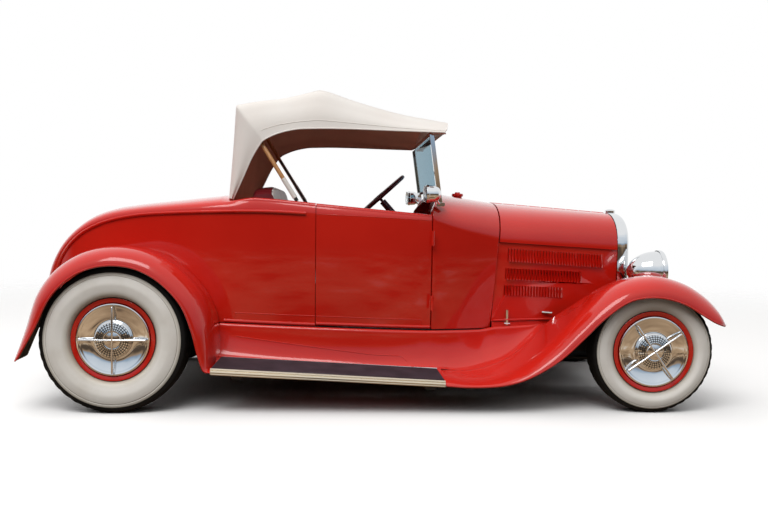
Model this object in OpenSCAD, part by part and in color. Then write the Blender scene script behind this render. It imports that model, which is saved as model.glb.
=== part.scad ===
/* [Vehicle] */
// Distance between the axles
wheelbase = 2629; // [2600:1:2660]
// Distance between the wheel centre planes of one axle
track = 1422; // [1412:1:1432]
// Body behind the rear axle
rear_overhang = 500; // [496:1:510]
// Fenders ahead of the front axle
front_overhang = 358; // [354:1:362]
// Fall of the sill for each millimetre forward
rake = 0.0331; // [0.03:0.0001:0.036]
// Height of the sill line above the rear axle's plane
sill_z = 429; // [424:1:434]

/* [Wheels] */
// Radius of a rear tyre
rear_tyre_r = 355; // [350:1:360]
// Radius of a front tyre
front_tyre_r = 307; // [303:1:311]
// Section width of a rear tyre
rear_tyre_w = 205; // [190:1:210]
// Section width of a front tyre
front_tyre_w = 160; // [150:1:168]
// Radius of the rim flange
rim_r = 200; // [198:1:202]
// Radius of the chrome hub cap
cap_r = 175; // [170:1:175]

/* [Running gear] */
// Distance of the king pins inside the wheel planes
kingpin_inset = 89; // [85:1:93]
// Length of the steering arms behind the king pins
arm_len = 150; // [140:1:160]
// Distance of the frame rails inside the wheel planes
rail_inset = 366; // [361:1:371]
// Width of a frame rail
rail_w = 60; // [50:1:60]

/* [Body] */
// Thickness of doors and cabin walls
wall = 45; // [40:1:48]
// Thickness of the deck and tail skin
skin = 14; // [12:1:16]
// Thickness of fender sheet
sheet = 6; // [4:1:8]
// Gap around doors and lids
gap = 8; // [7:0.5:9]
// Rear edge of the doors, ahead of the rear axle
door_x0 = 953; // [948:1:958]
// Front edge of the doors
door_x1 = 1545; // [1540:1:1550]
// Front edge of the deck panel behind the cockpit
deck_x = 470; // [466:1:474]

/* [Top and cockpit] */
// Thickness of the canvas
canvas = 6; // [5:1:8]
// Height of the windshield frame above its feet
glass_h = 290; // [280:1:300]
// Lean of the windshield towards the rear, degrees
glass_lean = 8; // [6:1:10]
// Radius of the steering wheel
wheel_r = 200; // [190:1:210]

/* [Hidden] */
$fn = 48;

// Clearance of faces that lie on each other, and of pins in their bores
seat_gap = 0.4;
pin_gap = 0.08;
// The row frame's origin lies midway between the ends of the car
origin_x = (wheelbase + front_overhang - rear_overhang) / 2;
kingpin_y = track / 2 - kingpin_inset;
rail_y = track / 2 - rail_inset;
// The nose moves with the front axle; the length between the dash and the axle gives way
dash_x = 1592;
nose_x = 2320;
nose_move = wheelbase - 2629;
function fwd(x) = x <= dash_x ? x : x >= nose_x ? x + nose_move
    : mix(dash_x, nose_x + nose_move, (x - dash_x) / (nose_x - dash_x));

red = "#b8101c";
dark = "#1d1a19";
chrome = "#d5d8db";

// Smooth curve through the rows of a table, each [key, value, value ...]
function row_at(t, k, i = 0) = (i >= len(t) - 2 || k <= t[i + 1][0]) ? i : row_at(t, k, i + 1);
function slope(t, i) =
    let (a = max(i - 1, 0), b = min(i + 1, len(t) - 1))
    (t[b] - t[a]) / (t[b][0] - t[a][0]);
function curve(t, k) =
    let (i = row_at(t, k), h = t[i + 1][0] - t[i][0], u = (k - t[i][0]) / h)
    t[i] * (2 * u ^ 3 - 3 * u ^ 2 + 1) + slope(t, i) * h * (u ^ 3 - 2 * u ^ 2 + u)
    + t[i + 1] * (3 * u ^ 2 - 2 * u ^ 3) + slope(t, i + 1) * h * (u ^ 3 - u ^ 2);
function mix(a, b, u) = a + (b - a) * u;
function steps(a, b, n) = [for (i = [0:n]) mix(a, b, i / n)];

// Outward unit normal of a point grid; rows run forward, columns run over the surface to the left
function normal(g, i, j) =
    let (m = len(g) - 1, n = len(g[0]) - 1,
        along = g[min(i + 1, m)][j] - g[max(i - 1, 0)][j],
        over = g[i][min(j + 1, n)] - g[i][max(j - 1, 0)],
        v = cross(along, over))
    v / norm(v);
function crosswise(v) = [0, v[1], v[2]] / norm([v[1], v[2]]);
function inside(g, t, upright) =
    [for (i = [0:len(g) - 1]) [for (j = [0:len(g[0]) - 1])
        g[i][j] - t * (upright ? crosswise(normal(g, i, j)) : normal(g, i, j))]];

// Sheet of thickness t under a grid of points; an upright one has flat ends across the car
module panel(g, t, upright = false) {
    m = len(g);
    n = len(g[0]);
    function id(i, j, k) = (k * m + i) * n + j;
    function strip(a, b, c, d) = [[a, b, c], [a, c, d]];
    under = inside(g, t, upright);
    faces = [
        for (i = [0:m - 2], j = [0:n - 2])
            each strip(id(i, j, 0), id(i, j + 1, 0), id(i + 1, j + 1, 0), id(i + 1, j, 0)),
        for (i = [0:m - 2], j = [0:n - 2])
            each strip(id(i, j, 1), id(i + 1, j, 1), id(i + 1, j + 1, 1), id(i, j + 1, 1)),
        for (i = [0:m - 2])
            each strip(id(i, 0, 0), id(i + 1, 0, 0), id(i + 1, 0, 1), id(i, 0, 1)),
        for (i = [0:m - 2])
            each strip(id(i + 1, n - 1, 0), id(i, n - 1, 0), id(i, n - 1, 1), id(i + 1, n - 1, 1)),
        for (j = [0:n - 2])
            each strip(id(0, j + 1, 0), id(0, j, 0), id(0, j, 1), id(0, j + 1, 1)),
        for (j = [0:n - 2])
            each strip(id(m - 1, j, 0), id(m - 1, j + 1, 0), id(m - 1, j + 1, 1), id(m - 1, j, 1))
    ];
    polyhedron(points = [for (r = g) each r, for (r = under) each r], faces = faces);
}

// A right-hand piece and its mirror image on the left
module both() {
    children();
    mirror([0, 1, 0]) children();
}
module box(a, b) { translate(a) cube(b - a); }
module rod(a, b, r) {
    d = b - a;
    translate(a) rotate([0, acos(d[2] / norm(d)), atan2(d[1], d[0])]) cylinder(r = r, h = norm(d));
}
// Prism of a side view [x, z] from y0 to y1
module side_prism(points, y0, y1) {
    translate([0, y1, 0]) rotate([90, 0, 0]) linear_extrude(y1 - y0) polygon(points);
}
// Prism of a front view [y, z] from x0 to x1
module front_prism(points, x0, x1) {
    translate([x0, 0, 0]) rotate([90, 0, 90]) linear_extrude(x1 - x0) polygon(points);
}

// Body lines: half width at the belt, by distance ahead of the rear axle
half_width = [
    [-460, 296], [-400, 345], [-300, 402], [-150, 452], [0, 490], [200, 533], [450, 575],
    [700, 596], [956, 603], [1250, 600], [1400, 590], [1550, 568], [fwd(1700), 512], [fwd(1890), 425]
];
function width_at(x) = curve(half_width, x)[1];
function sill(x) = sill_z - rake * x;
function board(x) = 232 - 0.0508 * (x - 476);
// Inward tuck of the side below the belt, u running from sill to belt
tuck = 30;
function side_y(w, u) = w - tuck * (1 - u) ^ 2;
// Over the top, from the belt at half width w to the centre line
function over_y(w, a, n) = w * cos(a) ^ (2 / n);
function over_h(a, n) = sin(a) ^ (2 / n);
function mirrored(path) =
    concat(path, [for (i = [len(path) - 2:-1:0]) [path[i][0], -path[i][1], path[i][2]]]);

// Frame: rails kick up over the rear axle and at the front crossmember
frame_drop = 12;
rail_h = 95;
tail_z = rear_tyre_r + 190;
horn_z = 402;
function rail_top(x) = sill(x) - frame_drop;
rail_end = -230;
rail_line = [
    [rail_end, tail_z], [170, tail_z], [420, rail_top(420)],
    [fwd(2380), rail_top(fwd(2380))], [fwd(2480), horn_z],
    [wheelbase + 130, horn_z], [wheelbase + 130, horn_z - 70], [fwd(2505), horn_z - 100],
    [fwd(2400), rail_top(fwd(2400)) - rail_h], [430, rail_top(430) - rail_h],
    [195, tail_z - 80], [rail_end, tail_z - 80]
];
board_brackets = [560, 1500];
sump_z = 240;
middle_z = 346;
rear_spring_z = rear_tyre_r + 95;
bearer_x = fwd(2080);
lamp_bar_y = 425;
arm_y = track / 2 + 79;
module chassis_frame() {
    color(dark) difference() {
        union() {
            for (s = [-1, 1])
                side_prism(rail_line, s * rail_y - rail_w / 2, s * rail_y + rail_w / 2);
            // Front crossmember, engine bearer, middle and rear crossmembers
            box([wheelbase - 45, -rail_y, horn_z - 48], [wheelbase + 70, rail_y, horn_z]);
            box([bearer_x, -rail_y, 208], [bearer_x + 40, rail_y, sump_z]);
            for (s = [-1, 1])
                box([bearer_x, s * rail_y - 25, 208], [bearer_x + 40, s * rail_y + 25, 300]);
            box([1180, -rail_y, middle_z], [1240, rail_y, middle_z + 28]);
            box([-140, -rail_y, rear_spring_z + 45 + seat_gap], [-60, rail_y, tail_z]);
            box([rail_end, -rail_y, 425], [rail_end + 40, rail_y, tail_z]);
            box([rail_end, -lamp_bar_y, 395], [rail_end + 40, lamp_bar_y, 430]);
            // Arms that carry the running boards
            for (x = board_brackets, s = [-1, 1])
                side_prism([[x, board(x) - 60], [x + 50, board(x + 50) - 60],
                    [x + 50, board(x + 50) - 30 - seat_gap], [x, board(x) - 30 - seat_gap]],
                    s > 0 ? rail_y - 20 : -arm_y, s > 0 ? arm_y : -rail_y + 20);
            for (x = board_brackets, s = [-1, 1])
                box([x, s * rail_y - 20, board(x) - 55], [x + 50, s * rail_y + 20, rail_top(x) - 40]);
        }
        // Bolt holes at the frame horns for a front crossbar
        for (s = [-1, 1])
            translate([wheelbase + 105, s * rail_y, horn_z - 100]) cylinder(r = 6.5, h = 120);
    }
}

// Front axle: dropped beam, king pins and radius rods
beam_z = 195;
beam_h = 50;
module front_axle() {
    boss = 60;
    spring_y = kingpin_y - 177;
    color(dark) translate([wheelbase, 0, 0]) {
        for (m = [0, 1]) mirror([0, m, 0]) {
            front_prism([[-1, beam_z], [kingpin_y - 152, beam_z], [kingpin_y - 22, front_tyre_r - boss / 2],
                [kingpin_y, front_tyre_r - boss / 2], [kingpin_y, front_tyre_r + boss / 2],
                [kingpin_y - 32, front_tyre_r + boss / 2], [kingpin_y - 167, beam_z + beam_h],
                [-1, beam_z + beam_h]],
                -20, 20);
            translate([0, kingpin_y, front_tyre_r - boss / 2]) cylinder(r = 24, h = boss);
            translate([0, kingpin_y, front_tyre_r - 58]) cylinder(r = 10.3, h = 116);
            box([-22, spring_y - 20, beam_z + 20], [22, spring_y + 12, 258]);
            rod([-19, spring_y - 45, beam_z + 14], [fwd(1700) - wheelbase, 40, 165], 12);
        }
    }
}

// Transverse leaf springs above the axles
function arch(z, sag, half, y) = z - sag * (y / half) ^ 2;
module leaf_spring(x0, x1, z, sag, half, leaves) {
    t = 9;
    for (i = [0:leaves - 1]) {
        reach = half * (1 - 0.17 * i);
        ys = steps(-reach, reach, 16);
        front_prism(concat(
            [for (y = ys) [y, arch(z, sag, half, y) + i * t - (i > 0 ? 0.5 : 0)]],
            [for (y = ys) [-y, arch(z, sag, half, y) + (i + 1) * t]]), x0, x1);
    }
}
module springs() {
    color("#2b2a2a") {
        leaf_spring(wheelbase - 22, wheelbase + 22, 318, 59.2, kingpin_y - 177, 4);
        leaf_spring(-125, -75, rear_spring_z, 59.4, track / 2 - 206, 5);
    }
}

// Rear axle with its centre housing and torque tube
module rear_axle() {
    hub_in = track / 2 - 84;
    perch_y = track / 2 - 221;
    color(dark) {
        translate([0, 0, rear_tyre_r]) {
            for (s = [-1, 1]) {
                rod([0, 0, 0], [0, s * (hub_in - 6), 0], 38);
                rod([0, s * (hub_in - 12), 0], [0, s * (hub_in - 5), 0], 145);
                rod([0, s * (hub_in - 20), 0], [0, s * (track / 2 + 20), 0], 20);
                box([-135, s * perch_y - 14, -20], [0, s * perch_y + 14, 35.4]);
            }
            rotate([90, 0, 0]) cylinder(r = 115, h = 150, center = true);
            rod([60, 0, 0], [1460, 0, 295 - rear_tyre_r], 34);
        }
    }
}

// Engine, bell housing and gearbox as one unit
module power_unit() {
    color("#5b605d") {
        box([fwd(2030), -150, 262], [fwd(2500), 150, 700]);
        box([fwd(2055), -120, sump_z], [fwd(2400), 120, 265]);
        box([fwd(2050), -110, 695], [fwd(2480), 110, 790]);
        translate([fwd(1955), 0, 310]) rotate([0, 90, 0]) cylinder(r = 150, h = fwd(2035) - fwd(1955));
        box([fwd(1690), -95, 205], [fwd(1960), 95, 340]);
        rod([1470, 0, 296], [fwd(1700), 0, 290], 42);
    }
}

module exhaust() {
    y = rail_y - 140;
    z = 262;
    color("#8a8d90") {
        rod([-300, y, z], [fwd(2000), y, z], 20);
        rod([560, y, z], [1060, y, z], 52);
        box([1195, y - 15, z], [1225, y + 15, middle_z - seat_gap]);
        rod([fwd(1990), y, z], [fwd(2060), y - 20, 420], 20);
    }
}

// Front knuckles: yoke round the king pin, spindle and steering arm
module knuckle_right() {
    color(dark) translate([wheelbase, -kingpin_y, front_tyre_r]) {
        difference() {
            union() {
                for (z = [-56, 33]) {
                    box([-24, -34, z], [24, 0, z + 23]);
                    translate([0, 0, z]) cylinder(r = 24, h = 23);
                }
                box([-26, -50, -56], [26, -28, 56]);
                box([-arm_len, -11, -56], [-15, 11, -40]);
                translate([-arm_len, 0, -56]) cylinder(r = 17, h = 16);
            }
            translate([0, 0, -70]) cylinder(r = 10.3 + pin_gap, h = 140);
        }
        rod([0, -40, 0], [0, -(track / 2 - kingpin_y) - 20, 0], 16);
        rod([-arm_len, 0, -50], [-arm_len, 0, -84], 8);
    }
}
module knuckle_left() { mirror([0, 1, 0]) knuckle_right(); }

module tie_rod() {
    z = front_tyre_r - 82;
    color("#3a3a3a") translate([wheelbase - arm_len, 0, 0]) {
        difference() {
            union() {
                rod([0, -kingpin_y, z + 11], [0, kingpin_y, z + 11], 10.5);
                for (s = [-1, 1]) translate([0, s * kingpin_y, z]) cylinder(r = 17, h = 22);
            }
            for (s = [-1, 1]) translate([0, s * kingpin_y, z - 5]) cylinder(r = 8 + pin_gap, h = 40);
        }
    }
}

// Wheels: modelled with the axle along z, outer face up, then set on their hubs
module at_wheel(x, side, r) {
    translate([x, side * track / 2, r]) rotate([-90 * side, 0, 0]) children();
}
function tyre_half(r, w) = [
    [rim_r - 16.5, rim_half - 4], [rim_r + 1, rim_half - 3], [rim_r + 18, w * 0.44],
    [mix(rim_r, r, 0.38), w * 0.497], [mix(rim_r, r, 0.55), w * 0.495], [mix(rim_r, r, 0.74), w * 0.46],
    [r - 20, w * 0.425], [r - 9, w * 0.385], [r - 3, w * 0.30], [r, w * 0.16]
];
module tyre(r, w) {
    half = tyre_half(r, w);
    color("#171717") rotate_extrude($fn = 96)
        polygon(concat([for (p = half) [p[0], -p[1]]], [for (i = [len(half) - 1:-1:0]) half[i]]));
}
rim_half = 68;
disc_z = 24;
clip_r = 154;
module wheel(bore, hub_back) {
    lip = rim_half + 5;
    color(red) {
        // Rim
        rotate_extrude($fn = 96) polygon([[rim_r, lip], [rim_r, rim_half], [rim_r - 17, rim_half - 3],
            [rim_r - 17, 18], [rim_r - 36, 8], [rim_r - 36, -30], [rim_r - 17, -40],
            [rim_r - 17, -rim_half + 3], [rim_r, -rim_half], [rim_r, -lip], [rim_r - 5, -lip],
            [rim_r - 22, -rim_half], [rim_r - 22, -44],
            [rim_r - 41, -34], [rim_r - 41, 12], [rim_r - 22, 22], [rim_r - 22, rim_half], [rim_r - 5, lip]]);
        // Disc with the ring that takes the cap
        rotate_extrude($fn = 96) polygon([[rim_r - 38, -8], [rim_r - 38, 6], [clip_r + 2, disc_z],
            [clip_r - 7, disc_z], [130, 8], [60, 8], [60, 20], [bore, 20], [bore, hub_back], [50, hub_back],
            [50, -20], [130, -4]]);
        // Brake drum
        rotate_extrude($fn = 96) polygon([[bore + 5, -20], [138, -20], [138, -78],
            [128, -78], [128, -32], [bore + 5, -32]]);
    }
}
// Hub cap: dished plate, raised centre and crossed bars
module hubcap(turn) {
    bar_w = 15;
    color(chrome) {
        rotate_extrude($fn = 96) polygon([[cap_r, disc_z + 3], [clip_r + 2, disc_z + seat_gap],
            [clip_r - 7, disc_z + seat_gap], [90, disc_z + 6], [0, disc_z + 6], [0, 52], [30, 51], [62, 46],
            [84, 39], [90, 34], [cap_r - 14, disc_z + 12], [cap_r - 6, disc_z + 14], [cap_r, disc_z + 9]]);
        for (a = [turn, turn + 90]) rotate([0, 0, a]) {
            box([-cap_r + 14, -bar_w / 2, 34], [cap_r - 14, bar_w / 2, 60]);
        }
    }
}
front_bore = 16 + pin_gap;
rear_bore = 20 + pin_gap;
module tyre_front_left() { at_wheel(wheelbase, 1, front_tyre_r) tyre(front_tyre_r, front_tyre_w); }
module tyre_front_right() { at_wheel(wheelbase, -1, front_tyre_r) tyre(front_tyre_r, front_tyre_w); }
module tyre_rear_left() { at_wheel(0, 1, rear_tyre_r) tyre(rear_tyre_r, rear_tyre_w); }
module tyre_rear_right() { at_wheel(0, -1, rear_tyre_r) tyre(rear_tyre_r, rear_tyre_w); }
module wheel_front_left() { at_wheel(wheelbase, 1, front_tyre_r) wheel(front_bore, -31); }
module wheel_front_right() { at_wheel(wheelbase, -1, front_tyre_r) wheel(front_bore, -31); }
module wheel_rear_left() { at_wheel(0, 1, rear_tyre_r) wheel(rear_bore, -78); }
module wheel_rear_right() { at_wheel(0, -1, rear_tyre_r) wheel(rear_bore, -78); }
module hubcap_front_left() { at_wheel(wheelbase, 1, front_tyre_r) hubcap(35); }
module hubcap_front_right() { at_wheel(wheelbase, -1, front_tyre_r) hubcap(35); }
module hubcap_rear_left() { at_wheel(0, 1, rear_tyre_r) hubcap(0); }
module hubcap_rear_right() { at_wheel(0, -1, rear_tyre_r) hubcap(0); }

// Floor: a raked plate on the frame, as wide as the body above it
floor_t = frame_drop - seat_gap;
floor_x1 = fwd(1880);
floor_xs = concat([deck_x + 1], steps(600, fwd(1800), 8), [floor_x1]);
function floor_y(x) = width_at(x) - tuck - 4;
module floor_pan() {
    color(dark) intersection() {
        translate([0, 0, 200]) linear_extrude(400) polygon(concat(
            [for (x = floor_xs) [x, -floor_y(x)]],
            [for (i = [len(floor_xs) - 1:-1:0]) [floor_xs[i], floor_y(floor_xs[i])]]));
        side_prism([[deck_x + 1, rail_top(deck_x + 1)], [floor_x1, rail_top(floor_x1)],
            [floor_x1, rail_top(floor_x1) + floor_t], [deck_x + 1, rail_top(deck_x + 1) + floor_t]],
            -700, 700);
    }
}

// Rear body: station, belt x and z, deck centre x and z, sill x
tail_rows = [
    [0, deck_x, 973, deck_x, 1062, deck_x], [1, 250, 965, 250, 1036, 250], [2, 60, 952, 60, 1014, 60],
    [3, -90, 925, -100, 989, -90], [4, -190, 889, -215, 949, -180], [5, -268, 844, -308, 886, -250],
    [6, -333, 783, -390, 804, -305], [7, -382, 714, -450, 708, -345], [8, -412, 636, -485, 616, -370],
    [9, -425, 545, -497, 520, -385], [10, -430, 462, -500, 446, -392]
];
tail_n = 3.2;
tail_bottom = 444;
function tail_path(k) =
    let (r = curve(tail_rows, k), w = width_at(r[1]), wb = width_at(r[5]))
    concat(
        [for (u = [0, 0.35, 0.7]) [mix(r[5], r[1], u), -side_y(mix(wb, w, u), u),
            mix(min(sill(r[5]), tail_bottom), r[2], u)]],
        [for (a = [0, 10, 22, 36, 52, 70, 90]) let (h = over_h(a, tail_n))
            [mix(r[1], r[3], h), -over_y(w, a, tail_n), mix(r[2], r[4], h)]]);
tail_grid = [for (k = [10:-0.625:0]) mirrored(tail_path(k))];
// Deck lid outline
lid_x0 = -335;
lid_x1 = 418;
lid_half = 335;
lid_axis = [lid_x1 + 4, 1069];
lid_hinges = [-230, 230];
module lid_block(inset) {
    box([lid_x0 + inset, -lid_half + inset, 700], [lid_x1 - inset, lid_half - inset, 1200]);
}
// Quarter panel between the door and the deck: sill to belt to rail
rail_rows = [[470, 1034], [560, 1046], [700, 1043], [956, 1021], [1550, 970]];
function rail_z(x) = curve(rail_rows, x)[1];
belt_rows = [
    [-300, 830], [-150, 905], [0, 940], [250, 965], [470, 973], [700, 976],
    [956, 966], [1250, 955], [1550, 940]
];
function belt_z(x) = curve(belt_rows, x)[1];
function wall_path(x, z0, z1) =
    let (w = width_at(x), zb = belt_z(x), zs = sill(x), zr = z1 - zb)
    concat(
        [for (u = [0, 0.25, 0.5, 0.75, 1]) let (z = mix(z0, zb, u)) [x, -side_y(w, (z - zs) / (zb - zs)), z]],
        [for (v = [0.35, 0.7, 0.9, 1]) [x, -w + 16 * v ^ 2, zb + zr * v]]);
module quarter_panel() {
    panel([for (x = steps(deck_x + 0.5, door_x0, 7)) wall_path(x, sill(x) + seat_gap, rail_z(x))],
        wall, true);
}
module body_tub() {
    trunk_xs = steps(-285, 440, 8);
    function trunk_y(x) = width_at(x) - tuck / 2 - skin - 3;
    color(red) {
        difference() {
            union() {
                panel(tail_grid, skin);
                // Trunk floor and the bulkhead behind the seat
                translate([0, 0, tail_z + seat_gap]) linear_extrude(8) polygon(concat(
                    [for (x = trunk_xs) [x, -trunk_y(x)]],
                    [for (i = [len(trunk_xs) - 1:-1:0]) [trunk_xs[i], trunk_y(trunk_xs[i])]]));
                front_prism([for (p = mirrored(tail_path(0))) [p[1] * 0.985, mix(700, p[2], 0.985)]],
                    deck_x - 12, deck_x - 2);
            }
            lid_block(0);
        }
        both() quarter_panel();
        lid_hinge_brackets();
    }
}
module lid_hinge_brackets() {
    for (y = lid_hinges) {
        difference() {
            union() {
                rod([lid_axis[0], y - 38, lid_axis[1]], [lid_axis[0], y - 13, lid_axis[1]], 8);
                box([lid_axis[0], y - 38, lid_axis[1] - 16], [lid_axis[0] + 26, y - 13, lid_axis[1] - 2]);
            }
            box([lid_axis[0] - 9, y - 39, 1040], [lid_axis[0] - 1, y - 12, lid_axis[1] - 5]);
        }
        rod([lid_axis[0], y - 38, lid_axis[1]], [lid_axis[0], y + 13, lid_axis[1]], 4);
    }
}
module deck_lid() {
    color(red) {
        intersection() {
            panel(tail_grid, skin);
            lid_block(gap / 2 + 1);
        }
        for (y = lid_hinges) difference() {
            union() {
                rod([lid_axis[0], y - 12, lid_axis[1]], [lid_axis[0], y + 12, lid_axis[1]], 8);
                box([lid_axis[0] - 46, y - 12, lid_axis[1] - 26],
                    [lid_axis[0] - 9.5, y + 12, lid_axis[1] - 3]);
                box([lid_axis[0] - 14, y - 12, lid_axis[1] - 7], [lid_axis[0] - 2, y + 12, lid_axis[1] - 1]);
            }
            rod([lid_axis[0], y - 20, lid_axis[1]], [lid_axis[0], y + 20, lid_axis[1]], 4 + pin_gap);
        }
    }
}

// Doors: hung at their front edge on two outside hinges
door_axis = [door_x1 + 4, -588];
door_hinges = [520, 850];
module door_right() {
    x0 = door_x0 + gap;
    color(red) {
        panel([for (x = steps(x0, door_x1 - 2, 8)) wall_path(x, sill(x) + gap, rail_z(x) - 2)], wall, true);
        for (z = door_hinges) difference() {
            union() {
                translate([door_axis[0], door_axis[1], z - 14]) cylinder(r = 8, h = 28);
                box([door_axis[0] - 40, door_axis[1], z - 14], [door_axis[0] - 6, door_axis[1] + 62, z + 14]);
            }
            translate([door_axis[0], door_axis[1], z - 20]) cylinder(r = 4 + pin_gap, h = 40);
        }
    }
}
module door_left() { mirror([0, 1, 0]) door_right(); }

// Cowl: from the door posts to the hood seam
seam_lean = 0.075;
seam_base = fwd(1884);
function seam_x(z) = seam_base + seam_lean * (z - 405);
hood_n = 2.4;
function cowl_path(u) =
    let (w = width_at(mix(door_x1 + gap, fwd(1890), u)), zb = mix(944, 832, u ^ 0.8), zt = mix(1092, 1041, u),
        pts = concat(
            [for (v = [0, 0.25, 0.5, 0.75])
                [side_y(w, v), mix(sill(mix(door_x1, seam_base, u)) + seat_gap, zb, v)]],
            [for (a = [0, 10, 22, 36, 52, 70, 90])
                [over_y(w, a, hood_n), mix(zb, zt, over_h(a, hood_n))]]))
    [for (p = pts) [mix(door_x1 + gap + max(0, p[1] - 1000) * 0.5, seam_x(p[1]), u), -p[0], p[1]]];
column_y = rail_y - 60;
column_axis = [[1311, column_y, 1070], [fwd(1977), column_y, 330]];
post_x = 1590;
post_y = 535;
pad_z = 1012;
glass_z = 70;
module cowl() {
    color(red) difference() {
        union() {
            panel([for (u = steps(0, 1, 7)) mirrored(cowl_path(u))], wall, true);
            // Firewall and dashboard
            front_prism([for (p = mirrored(cowl_path(0.96))) [p[1] * 0.95, mix(700, p[2], 0.95)]],
                seam_base - 16, seam_base - 6);
            front_prism([for (p = mirrored(cowl_path(0.25))) [p[1] * 0.95, max(mix(700, p[2], 0.95), 890)]],
                fwd(1622), fwd(1622) + 12);
            // Filler neck and cap
            translate([fwd(1750), 0, 1050]) cylinder(r = 15, h = 36);
            translate([fwd(1750), 0, 1083]) cylinder(r = 23, h = 22);
            // Pads under the windshield posts
            for (s = [-1, 1])
                box([post_x - 20, s * post_y - 14, pad_z - 60], [post_x + 20, s * post_y + 14, pad_z]);
            // Hinge halves that hold the door pins
            for (s = [-1, 1], z = door_hinges) {
                for (dz = [-38, 14.5])
                    translate([door_axis[0], s * -door_axis[1], z + dz]) cylinder(r = 8, h = 23.5);
                for (dz = [-38, 14.5])
                    box([door_axis[0] + 1, s > 0 ? -door_axis[1] - 62 : door_axis[1], z + dz],
                        [door_axis[0] + 32, s > 0 ? -door_axis[1] : door_axis[1] + 62, z + dz + 23.5]);
                translate([door_axis[0], s * -door_axis[1], z - 38]) cylinder(r = 4, h = 76);
            }
        }
        rod(column_axis[0], column_axis[1], 26);
    }
}

// Hood: two lids on a centre rod between fixed louvred sides
hood_gap = 6;
hood_x1 = fwd(2606);
hood_t = 10;
function hood_end(u) = [mix(425, 268, u), mix(832, 790, u), mix(1041, 991, u)];
function hood_x(u, z) = mix(seam_x(z) + hood_gap, hood_x1, u);
rod_a = [seam_x(1041) + hood_gap, 0, 1041];
rod_b = [hood_x1, 0, 991];
function hood_top_path(u) =
    let (e = hood_end(u))
    [for (a = [0, 10, 22, 36, 52, 70, 90]) let (z = mix(e[1], e[2], over_h(a, hood_n)))
        [hood_x(u, z), -max(over_y(e[0], a, hood_n), 13), z]];
module barrels(first) {
    n = 9;
    for (i = [first:2:n - 1]) {
        a = mix(rod_a, rod_b, (i + 0.04) / n);
        b = mix(rod_a, rod_b, (i + 0.96) / n);
        difference() {
            union() {
                rod(a, b, 8);
                hull() {
                    for (p = [a, b]) translate(p + [0, -20, -6]) cube([1, 15, 5]);
                }
            }
            rod(a - (b - a), b + (b - a), 4 + pin_gap);
        }
    }
}
module hood_top_right() {
    color(red) {
        panel([for (u = steps(0, 1, 6)) hood_top_path(u)], hood_t, true);
        barrels(0);
    }
}
module hood_top_left() {
    color(red) {
        mirror([0, 1, 0]) panel([for (u = steps(0, 1, 6)) hood_top_path(u)], hood_t, true);
        mirror([0, 1, 0]) barrels(1);
    }
}
module hood_hinge_rod() {
    d = (rod_b - rod_a) / norm(rod_b - rod_a);
    color(chrome) {
        rod(rod_a - 4 * d, rod_b + 3 * d, 4);
    }
}
// Side of the hood: u along it, v from its lower edge to the lids
hood_bottom = 405;
hood_tuck = 20;
function hood_side_at(u, v) =
    let (e = hood_end(u), z = mix(hood_bottom, e[1] - hood_gap, v))
    [mix(seam_x(z) + 2, shell_x0 - seat_gap, u), -(e[0] - hood_tuck * (1 - v)), z];
// Louvres: first and last x, upper edge z at each, height, count
louvre_rows = [
    [fwd(1978), fwd(2516), 796, 760, 70, 33], [fwd(1968), fwd(2393), 689, 668, 60, 26],
    [fwd(1962), fwd(2280), 598, 582, 55, 20]
];
louvre_slot = 4;
module louvre_places() {
    for (r = louvre_rows, i = [0:r[5] - 1]) {
        x = mix(r[0], r[1], i / (r[5] - 1));
        z = mix(r[2], r[3], i / (r[5] - 1)) - r[4];
        u = (x - seam_x(z)) / (shell_x0 - seam_x(z));
        v = (z + r[4] / 2 - hood_bottom) / (hood_end(u)[1] - hood_gap - hood_bottom);
        p = hood_side_at(u, v);
        q = hood_side_at(u + 0.01, v);
        translate([p[0], p[1], z]) rotate([0, 0, atan2(q[1] - p[1], q[0] - p[0])])
            linear_extrude(r[4]) children();
    }
}
module hood_side() {
    difference() {
        panel([for (u = steps(0, 1, 6)) [for (v = [0, 0.5, 1]) hood_side_at(u, v)]], hood_t, true);
        louvre_places() polygon([[-6 - louvre_slot, -4], [-6, -4], [-6, 20], [-6 - louvre_slot, 20]]);
    }
    louvre_places() polygon([[7, 3], [7, -0.6], [-6, -7], [-6, 3]]);
}
module hood_sides() { color(red) both() hood_side(); }

// Radiator: plated shell round a finned core
shell_x0 = hood_x1 + 4;
shell_x1 = shell_x0 + 68;
shell_bottom = horn_z + seat_gap;
function shell_outline(inset) = let (w = 262 - inset) concat(
    [[-w + 20, shell_bottom + inset * 0.6], [-w, 560]],
    [for (a = [0:10:180]) [-over_y(w, min(a, 180 - a), hood_n) * (a > 90 ? -1 : 1),
        mix(800, 994 - inset, over_h(min(a, 180 - a), hood_n))]],
    [[w, 560], [w - 20, shell_bottom + inset * 0.6]]);
module radiator_shell() {
    color(chrome) difference() {
        union() {
            front_prism(shell_outline(0), shell_x0, shell_x1 - 8);
            front_prism(shell_outline(6), shell_x0, shell_x1 - 2);
            front_prism(shell_outline(14), shell_x0, shell_x1);
            translate([shell_x0 + 35, 0, 980]) cylinder(r = 26, h = 30);
        }
        front_prism(shell_outline(38), shell_x0 + 8, shell_x1 + 1);
        front_prism(shell_outline(60), shell_x0 - 1, shell_x1 + 1);
    }
}
module radiator_core() {
    x0 = shell_x0 + 8 + seat_gap;
    color("#222222") intersection() {
        union() {
            box([x0, -230, 400], [x0 + 40, 230, 990]);
            for (y = [-220:11:220]) box([x0 + 30, y - 1.5, 400], [x0 + 52, y + 1.5, 990]);
        }
        front_prism(shell_outline(38.5), x0, x0 + 60);
    }
}

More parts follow.
